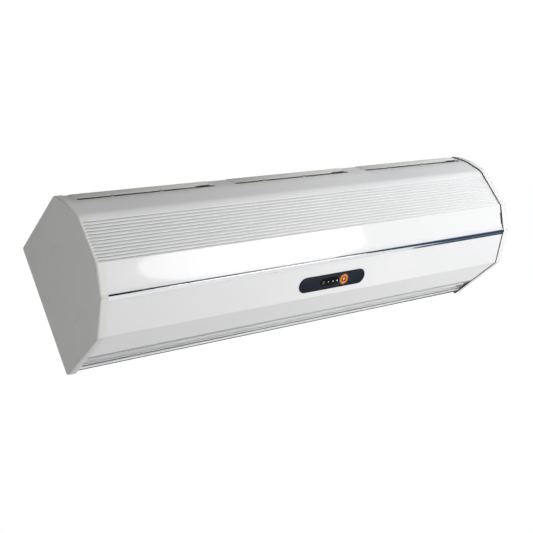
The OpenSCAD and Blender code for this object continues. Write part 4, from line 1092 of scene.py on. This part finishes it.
def outlet_rails():
    """The front rail with its hook over the cover, and the rear one with two beads."""
    d, h = DUCT_FRONT_D, RAIL_H
    foot_d, hook_d, hook_h = d + SHEET_T, OUTLET_FRONT_D + 7 * MM, COVER_IN + 1.4 * MM
    front = arc((d, h + MM), MM, -QUARTER, -math.pi, 8) + [
        (foot_d, h + 2 * MM), (foot_d, RAIL_LEG_H), (foot_d + 2 * MM, RAIL_LEG_H),
        (foot_d + 2 * MM, hook_h), (hook_d, hook_h), (hook_d, COVER_IN), (OUTLET_FRONT_D, COVER_IN),
        (OUTLET_FRONT_D, h + 0.5 * MM), (OUTLET_FRONT_D - 0.5 * MM, h)]
    rear = []
    for low in (RAIL_H + SHADE_STRIP_DEEP, LOWER_BEAD_TOP_H + RAIL_BEAD_GAP):
        rear += arc((DUCT_REAR_D + MM, low + RAIL_BEAD_R), RAIL_BEAD_R, -QUARTER, math.pi, 10)
    back_d = DUCT_REAR_D + 0.1 * MM
    leg0, leg1 = BACK_RECESS + SHEET_T, DUCT_REAR_D - SHEET_T
    rear += [(back_d, low + 2 * RAIL_BEAD_R), (back_d, RAIL_TOP_H), (leg1, RAIL_TOP_H),
             (leg1, RAIL_LEG_H), (leg0, RAIL_LEG_H), (leg0, RAIL_TOP_H),
             (BACK_RECESS, RAIL_TOP_H), (BACK_RECESS, RAIL_H), (BACK_RECESS + SHADE_STRIP_W, RAIL_H),
             (BACK_RECESS + SHADE_STRIP_W, RAIL_H + SHADE_STRIP_DEEP)]
    for node, ring in (("outlet_front_rail", front), ("outlet_rear_rail", rear)):
        piece = prism(node + "_extrusion", ring, -SIDE_IN_X, SIDE_IN_X)
        soften(piece, 0.2 * MM, angle=60)
        stand_for(smooth(piece), node)
        # Painted shade: the strip on the wall side and the groove between the beads get the black
        # finish
        second_finish(piece, "black_rubber", rear_rail_shade_lines)
        second_finish(piece, "white_cover", on_rear_bead)
        second_finish(piece, "dull_coat", on_front_underside)


VANE_H = 22 * MM
VANE_D = (DUCT_FRONT_D + DUCT_REAR_D) / 2 + 0.8 * MM
VANE_LOWER = 17.7 * MM
VANE_UPPER = 15 * MM
VANE_HALF_T = 1.3 * MM
VANE_HUB_R = 3.6 * MM
VANE_PIN_R = 2 * MM
VANE_PIN_L = 12 * MM


def outlet_vane():
    """A thin blade with a round tube at its pivot and round edges."""
    end_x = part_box("outlet_vane")[1].x
    pivot = (VANE_D, VANE_H)
    tip = arc((VANE_D, VANE_H + VANE_UPPER - VANE_HALF_T), VANE_HALF_T, 0, math.pi, 8)
    foot = arc((VANE_D, VANE_H - VANE_LOWER + VANE_HALF_T), VANE_HALF_T, math.pi, math.pi, 8)
    meet = math.acos(VANE_HALF_T / VANE_HUB_R)
    left = arc(pivot, VANE_HUB_R, math.pi - meet, 2 * meet, 14)
    right = arc(pivot, VANE_HUB_R, -meet, 2 * meet, 14)
    piece = prism("outlet_vane_blade", tip + left + foot + right, -end_x, end_x)
    for x0, x1 in ((-end_x - MM, VANE_PIN_L - end_x), (end_x - VANE_PIN_L, end_x + MM)):
        cut_out(piece, rod("pin_cutter", pivot, x0, x1, VANE_PIN_R, 32))
    soften(piece, 0.2 * MM, angle=50)
    stand_for(smooth(piece), "outlet_vane")
    second_finish(piece, "white_coated_steel", lambda middle, normal: True)


# ---- Control panel, modelled in its own frame ----

BUTTON_X = 25.3 * MM
RING_R = 11.2 * MM
CROWN_R = 9.2 * MM              # the orange crown ends here, inside a dark flange
CENTRE_R = 5.5 * MM             # the button's amber centre, inside its orange rim
DOME_R = 2.6 * MM
BUTTON_R = 6.8 * MM
WINDOW_X = -7.3 * MM
WINDOW_L = 41.4 * MM
WINDOW_W = 15 * MM
WINDOW_T = 1.6 * MM
WINDOW_LEDGE = 1 * MM
RIM_Z = -3 * MM
STEM_END_Z = -7 * MM
BOARD_Z = -12 * MM
BOSS_X = 55 * MM
RIM_LINE = 2.2 * MM             # from the bezel's edge to its fine inner line


def shifted(piece, x):
    return settle(piece, Matrix.Translation((x, 0, 0)))


def on_outer_rim(edge):
    """The fascia's top edge, outside its fine line."""
    level = all(abs(v.co.z - PANEL_PROUD) < 0.01 * MM for v in edge.verts)
    outer = all(abs(v.co.y) > PANEL_W / 2 - RIM_LINE / 2 or abs(v.co.x) > (PANEL_L - PANEL_W) / 2
                for v in edge.verts)
    return level and outer and any(face.normal.z < 0.5 for face in edge.link_faces)


def control_bezel():
    """The dark fascia: a rounded rim, a fine raised line inside it and the pocketed openings."""
    rim = obround("control_bezel_fascia", PANEL_L, PANEL_W, 0.02 * MM, PANEL_PROUD, steps=32)
    edit(rim)
    choose(rim, lambda face: face.normal.z > 0.9)
    bpy.ops.mesh.inset(thickness=RIM_LINE, depth=0)
    bpy.ops.mesh.inset(thickness=0.25 * MM, depth=0)
    bpy.ops.mesh.inset(thickness=0.35 * MM, depth=-0.18 * MM)
    choose(rim, on_outer_rim, "EDGE")
    bpy.ops.mesh.bevel(offset=0.7 * MM, segments=4, affect="EDGES", clamp_overlap=True)
    done()
    inside = 2 * PANEL_EDGE + 2 * SLIP
    body = obround("fascia_body", PANEL_L - inside, PANEL_W - inside, RIM_Z, 0.3 * MM, steps=32)
    modify(rim, "BOOLEAN", operation="UNION", object=body, solver="EXACT")
    bpy.data.objects.remove(body)
    pocket = obround("pocket_cutter", WINDOW_L, WINDOW_W, PANEL_PROUD - WINDOW_T, 2 * PANEL_PROUD)
    opening = obround("window_cutter", WINDOW_L - 2 * WINDOW_LEDGE, WINDOW_W - 2 * WINDOW_LEDGE,
                      2 * RIM_Z, PANEL_PROUD)
    round_hole = disc("ring_hole_cutter", RING_R, 2 * RIM_Z, 2 * PANEL_PROUD, 96)
    cut_out(rim, shifted(opening, WINDOW_X), shifted(pocket, WINDOW_X),
            shifted(round_hole, BUTTON_X))
    bosses = []
    for x in (-BOSS_X, BOSS_X):
        boss = disc("bezel_boss", 3 * MM, BOARD_Z, RIM_Z + 0.5 * MM, 32)
        cut_out(boss, disc("boss_cutter", 1.1 * MM, BOARD_Z - MM, RIM_Z, 24))
        bosses.append(shifted(boss, x))
    piece = settle(join([rim] + bosses, "control_bezel_fascia"), PANEL_PLACE)
    stand_for(smooth(piece), "control_bezel")


MARK_LOW = PANEL_PROUD - 0.04 * MM
MARK_HIGH = PANEL_PROUD + 0.04 * MM
MARK_Y = -0.4 * MM
TIMER_X = -20.5 * MM
SPEED_X = (-10 * MM, 0.5 * MM, 10 * MM)
SPEED_SIZES = (1.5 * MM, 1.75 * MM, 2 * MM)


def mark_bar(length, width, turn):
    """A thin round-ended bar printed on the lens, drawn from the mark's middle outwards."""
    bar = obround("mark_bar", length, width, MARK_LOW, MARK_HIGH, 6)
    return settle(bar, Matrix.Rotation(turn, 4, "Z") @ Matrix.Translation((length / 2, 0, 0)))


def timer_mark():
    """A dial with two hands."""
    inner, outer = 2.2 * MM, 2.75 * MM
    dial = revolved("timer_dial", [(inner, MARK_LOW), (outer, MARK_LOW), (outer, MARK_HIGH),
                                   (inner, MARK_HIGH)], 32)
    hands = [mark_bar(1.7 * MM, 0.5 * MM, QUARTER), mark_bar(1.4 * MM, 0.5 * MM, -0.4)]
    return settle(join([dial] + hands, "timer_mark"), Matrix.Translation((TIMER_X, MARK_Y, 0)))


def speed_mark(x, size):
    """A three-bladed fan."""
    blades = [mark_bar(size, 0.62 * size, QUARTER + 2 * math.pi * k / 3) for k in range(3)]
    return settle(join(blades, "speed_mark"), Matrix.Translation((x, MARK_Y, 0)))


def display_window():
    """A black lens with a dim dial mark and three white fan marks printed on it."""
    lens = obround("display_lens", WINDOW_L, WINDOW_W, PANEL_PROUD - WINDOW_T, PANEL_PROUD, 32)
    edit(lens)
    choose(lens, lambda edge: all(v.co.z > PANEL_PROUD - NEAR for v in edge.verts), "EDGE")
    bpy.ops.mesh.bevel(offset=0.3 * MM, segments=3, affect="EDGES")
    done()
    shifted(lens, WINDOW_X)
    lens_faces = len(lens.data.polygons)
    marks = [timer_mark()] + [speed_mark(x, size) for x, size in zip(SPEED_X, SPEED_SIZES)]
    dim_faces = lens_faces + len(marks[0].data.polygons)
    piece = settle(join([lens] + marks, "display_lens"), PANEL_PLACE)
    stand_for(smooth(piece), "display_window")
    piece.data.materials.append(FINISHES["dim_print"])
    piece.data.materials.append(FINISHES["white_print"])
    for i, face in enumerate(piece.data.polygons):
        face.material_index = (i >= lens_faces) + (i >= dim_faces)


def off_axis(point):
    """Distance from the button's own axis."""
    local = PANEL_PLACE.inverted() @ point
    return math.hypot(local.x - BUTTON_X, local.y)


def button_ring():
    """A turned orange ring: a full round crown inside a low dark flange."""
    bore = BUTTON_R + FIT
    crown = arc(((CROWN_R + bore) / 2, PANEL_PROUD - 0.4 * MM), MM, 0.1, math.pi - 0.4, 10)
    profile = [(RING_R, RIM_Z), (RING_R, PANEL_PROUD - 0.2 * MM),
               (RING_R - 0.3 * MM, PANEL_PROUD), (CROWN_R, PANEL_PROUD), *crown,
               (bore, PANEL_PROUD - 0.1 * MM), (bore, RIM_Z)]
    piece = settle(shifted(revolved("button_ring_turned", profile, 96), BUTTON_X), PANEL_PLACE)
    stand_for(smooth(piece), "button_ring")
    second_finish(piece, "black_plastic", lambda middle, normal: off_axis(middle) > CROWN_R)


def power_button():
    """A dished amber cap on a stem, with a pale domed centre."""
    top = PANEL_PROUD + 0.4 * MM
    back = RIM_Z - 2 * MM
    profile = [(0, STEM_END_Z), (2.5 * MM, STEM_END_Z), (2.5 * MM, back), (BUTTON_R, back),
               (BUTTON_R, top - 0.7 * MM), (BUTTON_R - 0.25 * MM, top - 0.2 * MM),
               (BUTTON_R - 0.8 * MM, top), (CENTRE_R, top - 0.2 * MM),
               (CENTRE_R - 0.9 * MM, top - 0.9 * MM), (3.6 * MM, top - 1.1 * MM),
               (2.9 * MM, top - 1.2 * MM), (DOME_R, top - 0.8 * MM),
               (1.5 * MM, top - 0.4 * MM), (0, top - 0.25 * MM)]
    piece = settle(shifted(revolved("power_button_turned", profile), BUTTON_X), PANEL_PLACE)
    stand_for(smooth(piece, 50), "power_button")
    second_finish(piece, "orange_ring", lambda middle, normal: off_axis(middle) > CENTRE_R)
    centre = PANEL_PLACE @ Vector((BUTTON_X, 0, top))
    second_finish(piece, "pale_amber", lambda middle, normal: (middle - centre).length < DOME_R)


# ---- The construction's other nodes, with softened edges ----

SOFT_EDGE = 0.25 * MM
NODE_MERGE = 0.01 * MM
FLAT_ANGLE = math.radians(0.5)
OTHER_SOFT_EDGES = {"wall_plate": 0.3 * MM, "frame_screws": 0.4 * MM, "vane_bushes": 0.2 * MM}
SOFTENED = (
    "wall_plate", "back_panel", "cover_screws", "frame_screws", "vane_bushes", "air_tongue",
    "fan_scroll", "side_plate_left", "side_plate_right", "bearing_holder_left",
    "bearing_holder_right", "bearing_rubbers", "cap_screws", "control_board", "cradle_screws",
    "holder_screws", "electrics_tray", "end_axles", "main_board", "motor_bearings",
    "motor_cradle", "motor_rubber_rings", "motor_shaft", "motor_shell_left",
    "motor_shell_right", "motor_stator", "run_capacitor", "shaft_bearings", "terminal_block",
    "vane_pins")


def softened(node):
    """A merged copy of a node, its flat faces joined and its edges rounded."""
    piece = copy_of(frame["nodes"][node], node + "_finished")
    edit(piece)
    bpy.ops.mesh.select_all(action="SELECT")
    bpy.ops.mesh.remove_doubles(threshold=NODE_MERGE)
    bpy.ops.mesh.dissolve_limited(angle_limit=FLAT_ANGLE)
    done()
    soften(piece, OTHER_SOFT_EDGES.get(node, SOFT_EDGE), angle=30)
    smooth(piece)
    modify(piece, "WEIGHTED_NORMAL", keep_sharp=True)
    stand_for(piece, node)


# ---- Stage, camera and light ----

FLOOR_H = -2.2
FLOOR_SIZE = 14
WORLD_LEVEL = 0.15              # how much the world lights the object

LENS = 68.64
CAMERA_AT = (-1.11557, -1.42844, -0.65584)
CAMERA_RIGHT = (0.80049, -0.46582, -0.37714)
CAMERA_UP = (0.13105, -0.47800, 0.86853)
CAMERA_BACK = (-0.58485, -0.74467, -0.32159)

LIGHT_AIM = Vector((0, -0.1, -0.05))
LIGHT_AWAY = 1.5
DISC_SIZE = 0.8
# Round softboxes: name, turn from the front towards the right end, elevation, power
DISC_LAMPS = (
    ("left_low", -60, -30, 2.0), ("left", -60, 0, 0.9), ("front_left", -30, 10, 1.2),
    ("front_low", 25, -30, 11.5), ("right_front", 50, 0, 5.0), ("right_high", 75, 30, 6.8),
    ("right_low", 110, -45, 5.0), ("rear", 180, 25, 5.0), ("rear_top", 180, 60, 2.0))
# The oval strip that the plain facet mirrors
STRIP_AT = (1.35, -2.0, -1.145)
STRIP_AIM = (1.35, -0.19, -0.1)
STRIP_POWER = 6.2
STRIP_SIZE = (1.2, 0.34)

RIGHT_FLAG_AT = (1.6, -0.45, 0.05)
RIGHT_FLAG_R = 1.62
RIGHT_FLAG_END_Y = 0.8
SLATE = (0.05, 0.075, 0.125)
FRONT_FLAG_AT = (1.2, -2.2, 0.15)
FRONT_FLAG_SIZE = (3.6, 4.4)
CEILING_FLAG_AT = (1.2, 0.4, 1.6)
CEILING_FLAG_SIZE = 4.4


def seen_directly(tree):
    """1 where the camera, a reflection or a clear lens looks, 0 for other light."""
    path = tree.nodes.new("ShaderNodeLightPath").outputs
    seen = reckon(tree, "MAXIMUM", path["Is Camera Ray"], path["Is Glossy Ray"])
    return reckon(tree, "MAXIMUM", seen, path["Is Transmission Ray"])


def build_stage():
    """Pale floor: white where it is seen, and it keeps the shadow."""
    clear_selection()
    bpy.ops.mesh.primitive_plane_add(size=FLOOR_SIZE, location=(0, 0, FLOOR_H))
    floor = added("floor")
    material, tree, shader = bare_finish("pale_floor")
    shader.inputs["Base Color"].default_value = (0.82, 0.82, 0.82, 1)
    shader.inputs["Roughness"].default_value = 0.9
    glow = put(tree, "ShaderNodeEmission", {"Color": (1, 1, 1, 1), "Strength": 1.0}).outputs[0]
    share = times(tree, seen_directly(tree), 0.85)
    both = put(tree, "ShaderNodeMixShader", {0: share, 1: shader.outputs[0], 2: glow}).outputs[0]
    tree.links.new(both, tree.nodes["Material Output"].inputs["Surface"])
    floor.data.materials.append(material)


def build_world():
    world = bpy.data.worlds.new("studio")
    bpy.context.scene.world = world
    world.use_nodes = True
    tree = world.node_tree
    back = tree.nodes["Background"]
    back.inputs["Color"].default_value = (1, 1, 1, 1)
    strength = spread(tree, seen_directly(tree), 0, 1, WORLD_LEVEL, 1.0)
    tree.links.new(strength, back.inputs["Strength"])


def held(name, data):
    """An object that holds a lamp or the camera."""
    holder = bpy.data.objects.new(name, data)
    bpy.context.scene.collection.objects.link(holder)
    return holder


def build_camera():
    camera = bpy.data.cameras.new("camera")
    camera.sensor_width = 36
    camera.lens = LENS
    camera.clip_end = 60
    holder = held("camera", camera)
    turn = Matrix((CAMERA_RIGHT, CAMERA_UP, CAMERA_BACK)).transposed().to_4x4()
    holder.matrix_world = Matrix.Translation(CAMERA_AT) @ turn
    bpy.context.scene.camera = holder


def lamp(name, place, aim, power, width):
    light = bpy.data.lights.new(name, "AREA")
    light.energy = power
    light.shape = "DISK"
    light.size = width
    holder = held(name, light)
    holder.location = place
    toward = Vector(aim) - Vector(place)
    holder.rotation_euler = toward.to_track_quat("-Z", "Y").to_euler()
    return holder


def build_lights():
    """Soft light that grows from the left end to the right one, and the facet's strip."""
    for name, azimuth, elevation, power in DISC_LAMPS:
        a, e = math.radians(azimuth), math.radians(elevation)
        way = Vector((math.sin(a) * math.cos(e), -math.cos(a) * math.cos(e), math.sin(e)))
        softbox = lamp(name, LIGHT_AIM + way * LIGHT_AWAY, LIGHT_AIM, power, DISC_SIZE)
        softbox.visible_glossy = False
    strip = lamp("facet_strip", STRIP_AT, STRIP_AIM, STRIP_POWER, STRIP_SIZE[0])
    strip.data.shape = "ELLIPSE"
    strip.data.size_y = STRIP_SIZE[1]


def flag(name, dark, pale=None, start=0, end=1, stretch=(1, 1)):
    """The new card is seen by bright metal and gloss only; its tone may pale along X."""
    card = added(name)
    settle(card, card.matrix_world @ Matrix.Diagonal((*stretch, 1, 1)))
    material, tree, shader = bare_finish(name + "_tone")
    tree.nodes.remove(shader)
    tone = (*dark, 1)
    if pale:
        tone = mix(tree, spread(tree, along_x(tree), start, end), tone, (*pale, 1))
    glow = put(tree, "ShaderNodeEmission", {"Color": tone, "Strength": 1.0}).outputs[0]
    tree.links.new(glow, tree.nodes["Material Output"].inputs["Surface"])
    card.data.materials.append(material)
    for way in ("camera", "diffuse", "shadow", "transmission"):
        setattr(card, "visible_" + way, False)
    return card


def build_flags():
    """Dark cards for the bright trim: a slate one past the right end, one in front, one above."""
    clear_selection()
    bpy.ops.mesh.primitive_circle_add(vertices=64, radius=RIGHT_FLAG_R, fill_type="NGON",
                                      location=RIGHT_FLAG_AT, rotation=(0, QUARTER, 0))
    card = flag("right_flag", SLATE)
    for vertex in card.data.vertices:
        vertex.co.y = min(vertex.co.y, RIGHT_FLAG_END_Y)
    clear_selection()
    bpy.ops.mesh.primitive_plane_add(size=1, location=FRONT_FLAG_AT, rotation=(QUARTER, 0, 0))
    flag("front_flag", (0.015, 0.015, 0.016), (1, 1, 1), 1.2, 2.3, FRONT_FLAG_SIZE)
    clear_selection()
    bpy.ops.mesh.primitive_plane_add(size=CEILING_FLAG_SIZE, location=CEILING_FLAG_AT)
    flag("ceiling_flag", (0.1, 0.1, 0.1), (0.8, 0.8, 0.8), 0.5, 2.4)


# ---- Assembly ----

dress_nodes()
upper_cover()
lower_cover()
trim_strip()
end_caps()
cable_grommet()
inlet_grilles()
outlet_rails()
outlet_vane()
control_bezel()
display_window()
button_ring()
power_button()
for node in SOFTENED:
    softened(node)

build_stage()
build_world()
build_lights()
build_flags()
build_camera()
bpy.context.scene.view_settings.view_transform = "Standard"
